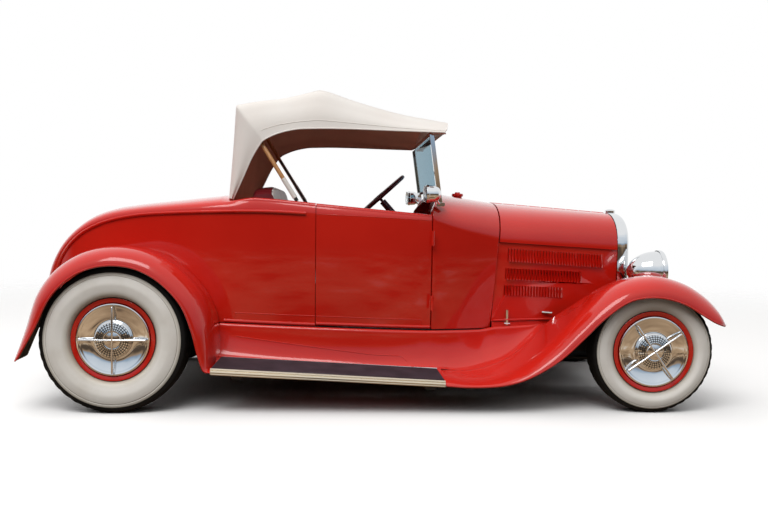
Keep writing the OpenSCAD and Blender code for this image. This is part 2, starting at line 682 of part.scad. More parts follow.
// Headlamps on a bar carried by the frame horns
lamp_y = 360;
lamp_z = 678;
lamp_r = 110;
lamp_x = fwd(2628);
lamp_len = 190;
bar_x = fwd(2735);
bar_z = 520;
module headlamps() {
    color(chrome) {
        for (s = [-1, 1]) {
            translate([lamp_x, s * lamp_y, lamp_z]) rotate([0, 90, 0]) difference() {
                rotate_extrude($fn = 64) polygon([[0, 0], [22, 3], [44, 12], [66, 30], [86, 60],
                    [99, 98], [105, 136], [106, 160], [lamp_r, 166], [lamp_r, 184],
                    [lamp_r - 6, lamp_len], [0, lamp_len]]);
                translate([0, 0, lamp_len - 14]) cylinder(r = lamp_r - 12, h = 20);
            }
            rod([bar_x, s * rail_y, horn_z + seat_gap], [bar_x, s * rail_y, lamp_z - 40], 11);
        }
        rod([bar_x, -rail_y, bar_z], [bar_x, rail_y, bar_z], 9);
    }
}
module headlamp_lenses() {
    color("#e8eef2") for (s = [-1, 1])
        translate([lamp_x + lamp_len - 14 + seat_gap, s * lamp_y, lamp_z]) rotate([0, 90, 0])
            rotate_extrude($fn = 64)
                polygon([[0, 0], [lamp_r - 12.5, 0], [lamp_r - 12.5, 8], [60, 16], [0, 20]]);
}
tail_lamp_y = lamp_bar_y - 15;
module tail_lamps() {
    color("#8e1018") for (s = [-1, 1]) {
        box([-440, s * tail_lamp_y - 12, 400], [rail_end - seat_gap, s * tail_lamp_y + 12, 422]);
        box([-440, s * tail_lamp_y - 12, 400], [-425, s * tail_lamp_y + 12, 470]);
        rod([-462, s * tail_lamp_y, 470], [-418, s * tail_lamp_y, 470], 36);
    }
}

// Fenders: station, crown x and z, lip x and z, inner edge y (or its distance off the body) and z
front_fender_line = [
    [0, 1592, 172, 1592, 147, -600, 176], [1, 1720, 162, 1722, 141, -585, 172],
    [2, 1860, 174, 1880, 150, -540, 190], [3, 1980, 224, 2010, 190, -500, 236],
    [4, 2100, 318, 2150, 275, -455, 322], [5, 2215, 433, 2262, 378, -415, 428],
    [6, 2320, 535, 2356, 472, -385, 470], [7, 2420, 618, 2462, 550, -368, 455],
    [8, 2530, 664, 2550, 578, -362, 445], [9, 2660, 676, 2656, 578, -362, 445],
    [10, 2790, 643, 2762, 547, -368, 455], [11, 2886, 588, 2848, 497, -410, 468],
    [12, 2952, 519, 2920, 461, -510, 470], [13, 2987, 455, 2970, 434, -640, 448]
];
front_fender_rows = [for (r = front_fender_line) [r[0], fwd(r[1]), r[2], fwd(r[3]), r[4], r[5], r[6]]];
// The rear fender's side view grows with the tyre, about its foot on the ground
rear_grow = rear_tyre_r / 355;
rear_fender_line = [
    [0, -465, 252, -434, 262, -620, 256], [1, -420, 405, -352, 412, -560, 400],
    [2, -370, 570, -285, 552, -450, 562], [3, -280, 690, -200, 645, 7, 672],
    [4, -150, 772, -100, 698, 7, 757], [5, 0, 800, 10, 715, 0, 787], [6, 150, 780, 125, 697, 0, 767],
    [7, 280, 712, 235, 634, 0, 702], [8, 395, 597, 330, 530, 0, 590], [9, 455, 480, 380, 410, 0, 478],
    [10, 476, 350, 408, 300, -592, 350], [11, 474, 210, 430, 206, -604, 212]
];
rear_fender_rows = [for (r = rear_fender_line) let (g = rear_grow)
    [r[0], r[1] * g, r[2] * g, r[3] * g, r[4] * g,
        r[5] < 0 ? r[5] : on_body(r[1] * g, r[6] * g) - r[5], r[6] * g]];
// Where a fender's inner edge lies against the side of the body
function on_body(x, z) = -side_y(width_at(x), (z - sill(x)) / (belt_z(x) - sill(x))) - 2;
crown_y = 11 - track / 2;
lip_y = -131 - track / 2;
function fender_path(rows, k) =
    let (r = curve(rows, k))
    concat(
        [for (a = [90, 72, 54, 36, 18]) let (h = 1 - cos(a))
            [mix(r[1], r[3], h), mix(crown_y, lip_y, sin(a)), mix(r[2], r[4], h)]],
        [for (a = [0, 22, 45, 68, 90]) [r[1], mix(crown_y, r[5], sin(a)), mix(r[2], r[6], 1 - cos(a))]]);
module front_fender() {
    panel([for (k = [0:0.5:13]) fender_path(front_fender_rows, k)], sheet);
}
module rear_fender() {
    panel([for (k = [0:0.5:11]) fender_path(rear_fender_rows, k)], sheet);
    // Foot that bolts to the end of the running board
    box([467 * rear_grow, crown_y - 40, board(board_x0) - 28],
        [board_x0 - seat_gap, crown_y + 80, max(board(board_x0) - 14, 206 * rear_grow)]);
}
module front_fenders() { color(red) both() front_fender(); }
module rear_fenders() { color(red) both() rear_fender(); }

// Running boards with their mats, and the aprons above them
board_x0 = 484 * rear_grow;
board_x1 = 1588;
board_t = 20;
board_y = -124 - track / 2;
board_in = -612;
module running_boards() {
    color(red) both()
        side_prism([[board_x0, board(board_x0) - 30], [board_x1, board(board_x1) - 30],
            [board_x1, board(board_x1) - 30 + board_t], [board_x0, board(board_x0) - 30 + board_t]],
            board_y, board_in);
}
module step_mats() {
    lift = board_t - 30 + seat_gap;
    x0 = board_x0 + 10;
    x1 = board_x1 - 10;
    color(dark) both()
        side_prism([[x0, board(x0) + lift], [x1, board(x1) + lift], [x1, board(x1) + lift + 5],
            [x0, board(x0) + lift + 5]], board_y + 20, board_in - 28);
}
cowl_end = seam_base + 0.4;
hood_start = cowl_end + 1.6;
apron_end = fwd(2170);
apron_xs = concat([board_x0 - 3], steps(600, fwd(1800), 8), [cowl_end], steps(hood_start, apron_end, 5));
inner_edge = [for (r = front_fender_rows) [r[1], r[5], r[6]]];
function apron_top(x) = x < hood_start
    ? [-floor_y(x) - sheet - 2 * seat_gap, sill(x) - 4]
    : [-hood_end((x - seam_base) / (hood_x1 - seam_base))[0] + 12, hood_bottom - 4];
function apron_low(x) = x < 1600
    ? [board_in, board(x) - 30 + board_t + seat_gap]
    : [curve(inner_edge, x)[1] + 1, curve(inner_edge, x)[2] + 9];
// Flared foot, upright middle and a rolled upper edge
function apron_path(x) =
    let (t = apron_top(x), b = apron_low(x), roll = min(12, (t[1] - b[1]) / 4))
    concat(
        [for (a = [0, 30, 60, 90]) [x, mix(b[0], t[0] - roll, sin(a)), mix(b[1], t[1] - roll, 1 - cos(a))]],
        [for (a = [45, 90]) [x, t[0] - roll * cos(a), t[1] - roll * (1 - sin(a))]]);
module splash_aprons() {
    color(red) both() panel([for (x = apron_xs) apron_path(x)], sheet, true);
}

// Windshield: plated frame on the cowl pads, leaning back
module leaned() {
    translate([post_x, 0, pad_z + seat_gap]) rotate([0, -glass_lean, 0]) children();
}
// Spot lamp on a stalk from the foot of each post, its domed shell ahead and its lens to the rear
spot_r = 46;
spot_len = 84;
spot_rise = 62;
spot_out = 62;
module spot_lamp(side) {
    middle = [post_x - 46, side * (post_y + spot_out), pad_z + spot_rise];
    rod([post_x - 6, side * (post_y + 6), pad_z + 10], middle, 6);
    translate(middle + [spot_len / 2, 0, 0]) rotate([0, -90, 0]) rotate_extrude($fn = 48)
        polygon([[0, 0], [18, 4], [32, 14], [spot_r - 4, 34], [spot_r - 2, 62], [spot_r, 64],
            [spot_r, 76], [spot_r - 6, spot_len - 4], [0, spot_len]]);
}
module windshield_frame() {
    z0 = glass_z;
    color(chrome) {
        for (s = [-1, 1]) {
            box([post_x - 20, s * post_y - 14, pad_z + seat_gap], [post_x + 20, s * post_y + 14, pad_z + 20]);
            spot_lamp(s);
        }
        leaned() difference() {
            union() {
                for (s = [-1, 1]) box([-11, s * post_y - 12, 4], [11, s * post_y + 12, glass_h + z0 + 20]);
                box([-11, -post_y, glass_h + z0], [11, post_y, glass_h + z0 + 20]);
                box([-11, -post_y, z0 + 10], [11, post_y, z0 + 26]);
            }
            box([-3, -post_y + 6, z0 + 18], [3, post_y - 6, glass_h + z0 + 8]);
        }
    }
}
module windshield_glass() {
    z0 = glass_z;
    color([0.75, 0.85, 0.9, 0.4]) leaned()
        box([-2.6, -post_y + 6.4, z0 + 18.4], [2.6, post_y - 6.4, glass_h + z0 + 7.6]);
}

// Canvas top: station, edge x and z, shoulder x and z, centre x and z
top_rows = [
    [0, 528, 1050, 506, 1052, 478, 1070], [1, 562, 1140, 518, 1180, 488, 1190],
    [2, 622, 1246, 532, 1340, 500, 1360], [3, 684, 1316, 546, 1486, 511, 1538],
    [4, 760, 1360, 645, 1496, 612, 1547], [5, 860, 1388, 790, 1512, 772, 1573],
    [6, 962, 1393, 965, 1556, 962, 1634], [7, 1150, 1393, 1150, 1504, 1150, 1578],
    [8, 1380, 1388, 1380, 1450, 1380, 1520], [9, 1612, 1384, 1618, 1419, 1632, 1476]
];
top_y = 598;
top_shoulder = 530;
function canvas_path(k) =
    let (r = curve(top_rows, k), e = [r[1], -top_y + 70 * max(0, 1 - k / 3), r[2]],
        s = [r[3], -top_shoulder, r[4]], c = [r[5], 0, r[6]])
    concat(
        [for (u = [0, 0.4, 0.75]) mix(e, s, u) + [0, -14 * sin(180 * u), 0]],
        [for (a = [15, 35, 60, 90])
            s + [(c[0] - s[0]) * sin(a), top_shoulder * (1 - cos(a)), (c[2] - s[2]) * sin(a)]]);
header_z = pad_z + seat_gap + (glass_h + glass_z + 20) * cos(glass_lean) + 11 * sin(glass_lean) + seat_gap;
module top_canvas() {
    color("#e8dfd0") {
        panel([for (k = [0:0.5:9]) mirrored(canvas_path(k))], canvas);
        box([1535, -582, header_z], [1600, 582, header_z + 22]);
    }
}
// Bow: foot on the body's rail, elbow, shoulder
bow_foot = [860, 575, rail_z(860)];
bow_elbow = [690, 568, 1300];
bow_top = [600, 500, 1450];
bow_r = 11;
module top_bows() {
    color("#b08a5a") {
        for (m = [0, 1]) mirror([0, m, 0]) {
            box(bow_foot + [-18, -9, 1.2], bow_foot + [18, 9, 14]);
            rod(bow_foot + [0, 0, 8], bow_elbow, bow_r);
            rod(bow_elbow, bow_top, bow_r);
            for (p = [bow_elbow, bow_top]) translate(p) sphere(r = bow_r + 0.5);
        }
        rod([bow_top[0], -bow_top[1], bow_top[2]], bow_top, bow_r);
    }
}

// Seat
seat_x0 = 640;
seat_x1 = 1090;
seat_half = 505;
function seat_top(x) = sill(x) + mix(210, 240, (x - seat_x0) / (seat_x1 - seat_x0));
module seat_cushion() {
    color("#6d1a22") side_prism([[seat_x0, sill(seat_x0) + seat_gap], [seat_x1, sill(seat_x1) + seat_gap],
        [seat_x1, seat_top(seat_x1)], [seat_x0, seat_top(seat_x0)]], -seat_half, seat_half);
}
module seat_back() {
    color("#6d1a22") side_prism([[seat_x0, seat_top(seat_x0) + 0.5], [800, seat_top(800) + 0.5],
        [745, 1105], [690, 1118], [620, 1080]], -seat_half, seat_half);
}

// Steering column and wheel
column_dir = (column_axis[1] - column_axis[0]) / norm(column_axis[1] - column_axis[0]);
module steering_column() {
    color(dark) {
        rod(column_axis[0] + 30 * column_dir, column_axis[1], 20);
        rod(column_axis[0] - 8 * column_dir, column_axis[0] + 40 * column_dir, 9);
        box(column_axis[1] + [-40, -30, -68], [column_axis[1][0] + 50, rail_y - rail_w / 2 - seat_gap, 372]);
    }
}
module steering_wheel() {
    d = column_dir;
    color("#2a0f12") translate(column_axis[0]) rotate([0, acos(-d[2]), atan2(-d[1], -d[0])]) {
        rotate_extrude($fn = 64) translate([wheel_r - 12, 0]) circle(r = 12, $fn = 24);
        difference() {
            union() {
                cylinder(r = 34, h = 30, center = true);
                for (a = [0:90:270]) rotate([0, 0, a]) box([0, -8, -4], [wheel_r - 10, 8, 4]);
            }
            translate([0, 0, -40]) cylinder(r = 9 + pin_gap, h = 60);
        }
    }
}

module placed() { translate([-origin_x, 0, 0]) children(); }
placed() chassis_frame();
placed() front_axle();
placed() springs();
placed() rear_axle();
placed() power_unit();
placed() exhaust();
placed() knuckle_left();
placed() knuckle_right();
placed() tie_rod();
placed() tyre_front_left();
placed() tyre_front_right();
placed() tyre_rear_left();
placed() tyre_rear_right();
placed() wheel_front_left();
placed() wheel_front_right();
placed() wheel_rear_left();
placed() wheel_rear_right();
placed() hubcap_front_left();
placed() hubcap_front_right();
placed() hubcap_rear_left();
placed() hubcap_rear_right();
placed() floor_pan();
placed() body_tub();
placed() deck_lid();
placed() cowl();
placed() door_left();
placed() door_right();
placed() hood_hinge_rod();
placed() hood_top_left();
placed() hood_top_right();
placed() hood_sides();
placed() radiator_shell();
placed() radiator_core();
placed() headlamps();
placed() headlamp_lenses();
placed() tail_lamps();
placed() front_fenders();
placed() rear_fenders();
placed() running_boards();
placed() step_mats();
placed() splash_aprons();
placed() windshield_frame();
placed() windshield_glass();
placed() top_canvas();
placed() top_bows();
placed() seat_cushion();
placed() seat_back();
placed() steering_column();
placed() steering_wheel();
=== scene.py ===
import math

import bmesh
import bpy
import numpy as np
from mathutils import Matrix, Vector


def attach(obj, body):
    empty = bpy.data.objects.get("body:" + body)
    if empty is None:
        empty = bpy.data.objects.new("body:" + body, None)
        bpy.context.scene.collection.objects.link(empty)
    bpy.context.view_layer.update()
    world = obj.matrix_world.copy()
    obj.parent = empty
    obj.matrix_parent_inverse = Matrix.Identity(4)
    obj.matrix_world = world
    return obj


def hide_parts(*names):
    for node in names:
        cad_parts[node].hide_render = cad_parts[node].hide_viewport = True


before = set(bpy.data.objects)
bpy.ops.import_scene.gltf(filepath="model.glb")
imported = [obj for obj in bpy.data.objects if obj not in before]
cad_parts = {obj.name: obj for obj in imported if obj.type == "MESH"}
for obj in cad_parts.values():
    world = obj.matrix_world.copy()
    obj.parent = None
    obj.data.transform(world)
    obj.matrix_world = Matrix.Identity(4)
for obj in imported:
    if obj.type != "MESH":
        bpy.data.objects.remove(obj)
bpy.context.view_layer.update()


# Studio: a pale floor that fades into white, under a soft dome and one softbox above the camera's left.
# Camera rays see plain white, and only reflections see the tan ground and the blue-white surround. Nothing
# here is part of the car.
def linear(code):
    parts = [int(code[i:i + 2], 16) / 255 for i in (1, 3, 5)]
    return (*[c / 12.92 if c <= 0.04045 else ((c + 0.055) / 1.055) ** 2.4 for c in parts], 1)


def node(tree, kind, inputs=(), stops=(), **settings):
    made = tree.nodes.new("ShaderNode" + kind)
    for name, value in settings.items():
        setattr(made, name, value)
    for name, value in dict(inputs).items():
        if isinstance(value, bpy.types.Node):
            value = value.outputs[0]
        if isinstance(value, bpy.types.NodeSocket):
            tree.links.new(value, made.inputs[name])
        else:
            made.inputs[name].default_value = value
    if stops:
        marks = made.color_ramp.elements
        for mark, (at, code) in zip(marks, (stops[0], stops[-1])):
            mark.position, mark.color = at, linear(code)
        for at, code in stops[1:-1]:
            marks.new(at).color = linear(code)
    return made


def new_finish(name):
    made = bpy.data.materials.new(name)
    made.use_nodes = True
    made.node_tree.nodes.clear()
    return made, made.node_tree, node(made.node_tree, "TexCoord").outputs["Object"]


scene = bpy.context.scene
scene.view_settings.view_transform = "Standard"
scene.world = bpy.data.worlds.new("studio")
scene.world.use_nodes = True
tree = scene.world.node_tree
tree.nodes.clear()
white, lit_side = (1, 1, 1, 1), (-0.94, -0.34, 0)
way = node(tree, "TexCoord").outputs["Generated"]
axis = node(tree, "SeparateXYZ", {0: way})
lit = node(tree, "VectorMath", {0: way, 1: lit_side}, operation="DOT_PRODUCT")
lean = node(tree, "MapRange", {"Value": lit.outputs["Value"], "From Min": -1, "To Min": 0.2, "To Max": 1.8})
climb = node(tree, "MapRange", {"Value": axis.outputs["Z"], "From Min": 0.26, "From Max": 0.72,
                                "To Min": 0.004, "To Max": 1.12}, interpolation_type="SMOOTHSTEP")
dome = node(tree, "Math", {0: lean, 1: climb}, operation="MULTIPLY")
behind = node(tree, "MapRange", {"Value": axis.outputs["Y"], "From Min": -0.05, "From Max": -0.45},
              interpolation_type="SMOOTHSTEP")
patches = node(tree, "TexNoise", {"Vector": way, "Scale": 3.0, "Detail": 3})
uneven = node(tree, "MapRange", {"Value": patches, "To Min": -0.14, "To Max": 0.14})
height = node(tree, "Math", {0: axis.outputs["Z"], 1: uneven}, operation="ADD")
wall = node(tree, "ValToRGB", {"Fac": height}, ((0.0, "#57493d"), (0.05, "#a3896d"), (0.1, "#93a8bd"),
                                                (0.18, "#cfd9e3"), (0.42, "#e6edf4"), (0.62, "#ffffff")))
around = node(tree, "MixRGB", {"Fac": behind, "Color1": white, "Color2": wall})
ray = node(tree, "LightPath").outputs
direct = node(tree, "Math", {0: ray["Is Camera Ray"], 1: ray["Is Glossy Ray"]}, operation="ADD")
direct = node(tree, "Math", {0: direct, 1: ray["Is Transmission Ray"]}, operation="ADD", use_clamp=True)
shown = node(tree, "MixRGB", {"Fac": ray["Is Glossy Ray"], "Color1": white, "Color2": around})
light = node(tree, "MixRGB", {"Fac": direct, "Color1": dome, "Color2": shown})
node(tree, "OutputWorld", {"Surface": node(tree, "Background", {"Color": light})})

# The ground has patches about a metre wide, which only the plating and the paint mirror.
bm = bmesh.new()
bmesh.ops.create_circle(bm, cap_ends=True, radius=14, segments=96)
floor = bpy.data.objects.new("floor", bpy.data.meshes.new("floor"))
bm.to_mesh(floor.data)
bm.free()
scene.collection.objects.link(floor)
pale_floor, tree, spot = new_finish("pale_floor")
reach = node(tree, "VectorMath", {0: spot}, operation="LENGTH")
fade = node(tree, "MapRange", {"Value": reach.outputs["Value"], "From Min": 3.2, "From Max": 9.0},
            interpolation_type="SMOOTHSTEP")
ray = node(tree, "LightPath").outputs
patches = node(tree, "TexNoise", {"Vector": spot, "Scale": 1.1, "Detail": 4})
ground = node(tree, "ValToRGB", {"Fac": patches}, ((0.37, "#3a3029"), (0.43, "#8f755b"), (0.58, "#b89c7c"),
                                                   (0.68, "#ded4c6")))
bounce = node(tree, "MixRGB", {"Fac": ray["Is Glossy Ray"], "Color1": linear("#6a6158"), "Color2": ground})
shade = node(tree, "MixRGB", {"Fac": ray["Is Camera Ray"], "Color1": bounce, "Color2": linear("#fdfcfb")})
matt = node(tree, "BsdfDiffuse", {"Color": shade})
both = node(tree, "MixShader", {0: fade, 1: matt, 2: node(tree, "BsdfTransparent")})
node(tree, "OutputMaterial", {"Surface": both})
floor.data.materials.append(pale_floor)

softbox = bpy.data.objects.new("softbox", bpy.data.lights.new("softbox", "AREA"))
softbox.data.shape = "RECTANGLE"
softbox.data.size, softbox.data.size_y = 4.2, 3.2
softbox.data.energy = 250
softbox.location = (-1.6, -4.6, 6.2)
middle_of_car = Vector((0, 0, 0.6))
softbox.rotation_euler = (middle_of_car - softbox.location).to_track_quat("-Z", "Y").to_euler()
scene.collection.objects.link(softbox)

yaw, pitch, roll = 0.0504, 0.0504, 0.0120
ahead = Vector((math.sin(yaw) * math.cos(pitch), math.cos(yaw) * math.cos(pitch), -math.sin(pitch)))
right = Vector((math.cos(yaw), -math.sin(yaw), 0))
up = right.cross(ahead)
right, up = (math.cos(roll) * right + math.sin(roll) * up, math.cos(roll) * up - math.sin(roll) * right)
camera = bpy.data.objects.new("camera", bpy.data.cameras.new("camera"))
camera.data.sensor_width = 36
camera.data.lens = 39.1
camera.data.clip_end = 200
camera.matrix_world = Matrix((right, up, -ahead)).transposed().to_4x4()
camera.location = (-0.1556, -4.7987, 0.9707)
scene.collection.objects.link(camera)
scene.camera = camera

# Frame, axles, springs and steering links: steel pressings and forgings under black chassis enamel. They are
# bolted and riveted together, and the CAD solids have their shape.

# Chassis enamel looks black and half-dull, with road dust in patches about 70 mm wide.
chassis_enamel, tree, spot = new_finish("chassis_enamel")
dust = node(tree, "TexNoise", {"Vector": spot, "Scale": 14, "Detail": 6})
soot = node(tree, "ValToRGB", {"Fac": dust}, ((0.35, "#141211"), (0.75, "#2a2622")))
dull = node(tree, "MapRange", {"Value": dust, "To Min": 0.34, "To Max": 0.6})
bsdf = node(tree, "BsdfPrincipled", {"Base Color": soot, "Roughness": dull})
node(tree, "OutputMaterial", {"Surface": bsdf})


def dress(material, *names):
    for name in names:
        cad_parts[name].material_slots[0].material = material


dress(chassis_enamel, "chassis_frame", "front_axle", "springs", "rear_axle", "knuckle_left", "knuckle_right",
      "tie_rod", "floor_pan")

# Engine, bell housing and gearbox: one block of cast iron bolted into the frame. The exhaust pipe and its
# muffler are mild steel, hung below the floor. The CAD solids have their shape.

# Engine enamel looks green-grey over a pebbled casting. The 4.5 mm pebbles are coarser than real sand, and
# grease darkens it in patches about 110 mm wide.
engine_enamel, tree, spot = new_finish("engine_enamel")
sand = node(tree, "TexNoise", {"Vector": spot, "Scale": 220, "Detail": 3})
grease = node(tree, "TexNoise", {"Vector": spot, "Scale": 9, "Detail": 5})
skin = node(tree, "ValToRGB", {"Fac": grease}, ((0.4, "#39423d"), (0.7, "#56605a")))
pebble = node(tree, "Bump", {"Height": sand, "Strength": 0.25, "Distance": 0.001})
bsdf = node(tree, "BsdfPrincipled", {"Base Color": skin, "Roughness": 0.5, "Normal": pebble})
node(tree, "OutputMaterial", {"Surface": bsdf})
dress(engine_enamel, "power_unit")

# Bare steel, browned by heat in patches about 90 mm wide.
browned_steel, tree, spot = new_finish("browned_steel")
heat = node(tree, "TexNoise", {"Vector": spot, "Scale": 11, "Detail": 7})
brown = node(tree, "ValToRGB", {"Fac": heat}, ((0.38, "#5d4636"), (0.66, "#8b8781")))
bsdf = node(tree, "BsdfPrincipled", {"Base Color": brown, "Roughness": 0.45, "Metallic": 0.8})
node(tree, "OutputMaterial", {"Surface": bsdf})
dress(browned_steel, "exhaust")


# Tyres: black rubber with a wide white sidewall on the outer side, moulded with three tread grooves, cut
# shoulder blocks and a fine line near the white's edge. Each is held on its rim by its beads.
def mix(a, b, share):
    return a + (b - a) * share


def through(rows, key):
    rows = np.asarray(rows, float)
    i = int(np.clip(np.searchsorted(rows[:, 0], key) - 1, 0, len(rows) - 2))

    def slope(j):
        a, b = max(j - 1, 0), min(j + 1, len(rows) - 1)
        return (rows[b] - rows[a]) / (rows[b][0] - rows[a][0])

    span = rows[i + 1][0] - rows[i][0]
    t = (key - rows[i][0]) / span
    return (rows[i] * (2 * t ** 3 - 3 * t ** 2 + 1) + slope(i) * span * (t ** 3 - 2 * t ** 2 + t)
            + rows[i + 1] * (3 * t ** 2 - 2 * t ** 3) + slope(i + 1) * span * (t ** 3 - t ** 2))


def turned(profile, steps):
    made = bmesh.new()
    verts = [made.verts.new((r / 1000, 0, h / 1000)) for r, h in profile]
    edges = [made.edges.new(pair) for pair in zip(verts, verts[1:])]
    bmesh.ops.spin(made, geom=verts + edges, axis=(0, 0, 1), cent=(0, 0, 0), angle=2 * math.pi, steps=steps,
                   use_merge=True)
    bmesh.ops.remove_doubles(made, verts=made.verts, dist=1e-6)
    bmesh.ops.recalc_face_normals(made, faces=made.faces)
    return made


def piece(made, name, *materials, body="chassis", sharp=35, stands_for=None):
    for face in made.faces:
        face.smooth = True
    for edge in made.edges:
        edge.smooth = len(edge.link_faces) == 2 and edge.calc_face_angle() < math.radians(sharp)
    mesh = bpy.data.meshes.new(name)
    made.to_mesh(mesh)
    made.free()
    for material in materials:
        mesh.materials.append(material)
    obj = bpy.data.objects.new(name, mesh)
    scene.collection.objects.link(obj)
    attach(obj, body)
    if stands_for:
        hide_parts(stands_for)
    return obj


# Tyre rubber looks black and matt, with bloom in patches of 140 mm. Its 3 mm grain is coarser than real.
tyre_rubber, tree, spot = new_finish("tyre_rubber")
grain = node(tree, "TexNoise", {"Vector": spot, "Scale": 350, "Detail": 2})
bloom = node(tree, "TexNoise", {"Vector": spot, "Scale": 7, "Detail": 5})
tint = node(tree, "ValToRGB", {"Fac": bloom}, ((0.35, "#0a0909"), (0.75, "#151312")))
rough = node(tree, "Bump", {"Height": grain, "Strength": 0.15, "Distance": 0.0005})
bsdf = node(tree, "BsdfPrincipled", {"Base Color": tint, "Roughness": 0.75, "Specular IOR Level": 0.25,
                                     "Normal": rough})
node(tree, "OutputMaterial", {"Surface": bsdf})

# White rubber yellows towards the rim and its outer edge, where brake dust and road film stay in smudges
# about 170 mm wide. The dark mark at 0.88 of its width is painted shade in the groove of the moulded line.
whitewall, tree, spot = new_finish("whitewall_rubber")
across = node(tree, "Attribute", attribute_name="across")
film = node(tree, "ValToRGB", {"Fac": across.outputs["Fac"]}, (
    (0.0, "#a89a86"), (0.1, "#d3ccbf"), (0.3, "#f3efe8"), (0.866, "#f1ede6"), (0.88, "#8f8779"),
    (0.894, "#efebe3"), (1.0, "#c9c4b8")))
smudge = node(tree, "TexNoise", {"Vector": spot, "Scale": 6, "Detail": 6})
grime = node(tree, "MapRange", {"Value": smudge, "From Min": 0.45, "From Max": 0.8, "To Max": 0.35})
soiled = node(tree, "MixRGB", {"Fac": grime, "Color1": film, "Color2": linear("#b9ac97")})
bsdf = node(tree, "BsdfPrincipled", {"Base Color": soiled, "Roughness": 0.5})
node(tree, "OutputMaterial", {"Surface": bsdf})

sides = (("left", 1), ("right", -1))
wheelbase, rear_axle, track = 2629.0, 1243.5, 1422.0
rim_r, bead = 200.0, 68.0
white_rise, fine_line = 1.3, 1.6
tread_steps, block_cut = 120, 0.0025
wheel_places = {}
for end, hub_x, tyre_r, tyre_w, white_r in (("front", wheelbase - rear_axle, 307.0, 160.0, 284.0),
                                            ("rear", -rear_axle, 355.0, 205.0, 323.0)):
    # Half of the section from the bead to the crown: step, radius and half width.
    half = [(0, rim_r - 16.5, bead - 4), (1, rim_r + 1, bead - 3), (2, rim_r + 18, tyre_w * 0.44),
            (3, mix(rim_r, tyre_r, 0.38), tyre_w * 0.497), (4, mix(rim_r, tyre_r, 0.55), tyre_w * 0.495),
            (5, mix(rim_r, tyre_r, 0.74), tyre_w * 0.46), (6, tyre_r - 20, tyre_w * 0.425),
            (7, tyre_r - 9, tyre_w * 0.385), (8, tyre_r - 3, tyre_w * 0.30), (9, tyre_r, tyre_w * 0.16)]
    outer = []
    for key in np.linspace(0, 9, 91):
        _, r, h = through(half, key)
        raised = white_rise if rim_r + 6 < r < white_r else 0
        line = fine_line if abs(r - mix(rim_r, white_r, 0.88)) < fine_line else 0
        outer.append((r, h + raised - line))
    grooves = []
    for middle in (0.11, 0.0, -0.11):
        for offset, depth in ((0.028, 0), (0.022, 7), (-0.022, 7), (-0.028, 0)):
            grooves.append((tyre_r - depth, (middle + offset) * tyre_w))
    inner = [(r, -h) for _, r, h in (through(half, key) for key in np.linspace(9, 0, 28))]
    for side, hand in sides:
        bm = turned(outer + grooves + inner + outer[:1], tread_steps)
        for vert in bm.verts:
            reach, turn = vert.co.xy.length, math.atan2(vert.co.y, vert.co.x)
            shoulder = 0.16 * tyre_w < abs(vert.co.z * 1000) < 0.41 * tyre_w
            between_blocks = round(turn / math.tau * tread_steps) % 3 == 0
            if shoulder and reach > (tyre_r - 15) / 1000 and between_blocks:
                vert.co.xy *= 1 - block_cut / reach
        across = bm.verts.layers.float.new("across")
        for vert in bm.verts:
            vert[across] = min(max((vert.co.xy.length * 1000 - rim_r) / (white_r - rim_r), 0), 1)
        for face in bm.faces:
            middle = face.calc_center_median()
            face.material_index = int(middle.z > 0 and rim_r + 3 < middle.xy.length * 1000 < white_r)
        outwards = Matrix.Rotation(-hand * math.pi / 2, 4, "X")
        hub = Matrix.Translation((hub_x / 1000, hand * track / 2000, tyre_r / 1000)) @ outwards
        wheel_places[f"{end}_{side}"] = hub
        bmesh.ops.transform(bm, matrix=hub, verts=bm.verts)
        piece(bm, f"tyre_with_whitewall_{end}_{side}", tyre_rubber, whitewall, body=f"wheel_{end}_{side}",
              stands_for=f"tyre_{end}_{side}")

# Wheels: pressed steel rims, discs and brake drums in the body's red, turned from three profiles and joined.
# Each is bolted to its hub, with the drum behind the disc.

# Red enamel is a deep gloss, cut back and waxed: clouds about 450 mm wide, where it is polished thin, and a
# faint orange peel 6 mm across.
red_enamel, tree, spot = new_finish("red_enamel")
cloud = node(tree, "TexNoise", {"Vector": spot, "Scale": 2.2, "Detail": 3})
depth = node(tree, "ValToRGB", {"Fac": cloud}, ((0.3, "#c71b0f"), (0.7, "#d12215")))
peel = node(tree, "TexNoise", {"Vector": spot, "Scale": 170, "Detail": 1})
wave = node(tree, "Bump", {"Height": peel, "Strength": 0.02, "Distance": 0.0004})
bsdf = node(tree, "BsdfPrincipled", {"Base Color": depth, "Roughness": 0.2, "Specular IOR Level": 0.18,
                                     "Coat Weight": 0.8, "Coat Roughness": 0.02, "Normal": wave})
node(tree, "OutputMaterial", {"Surface": bsdf})


def join(made, part):
    mesh = bpy.data.meshes.new("part")
    part.to_mesh(mesh)
    part.free()
    made.from_mesh(mesh)
    bpy.data.meshes.remove(mesh)


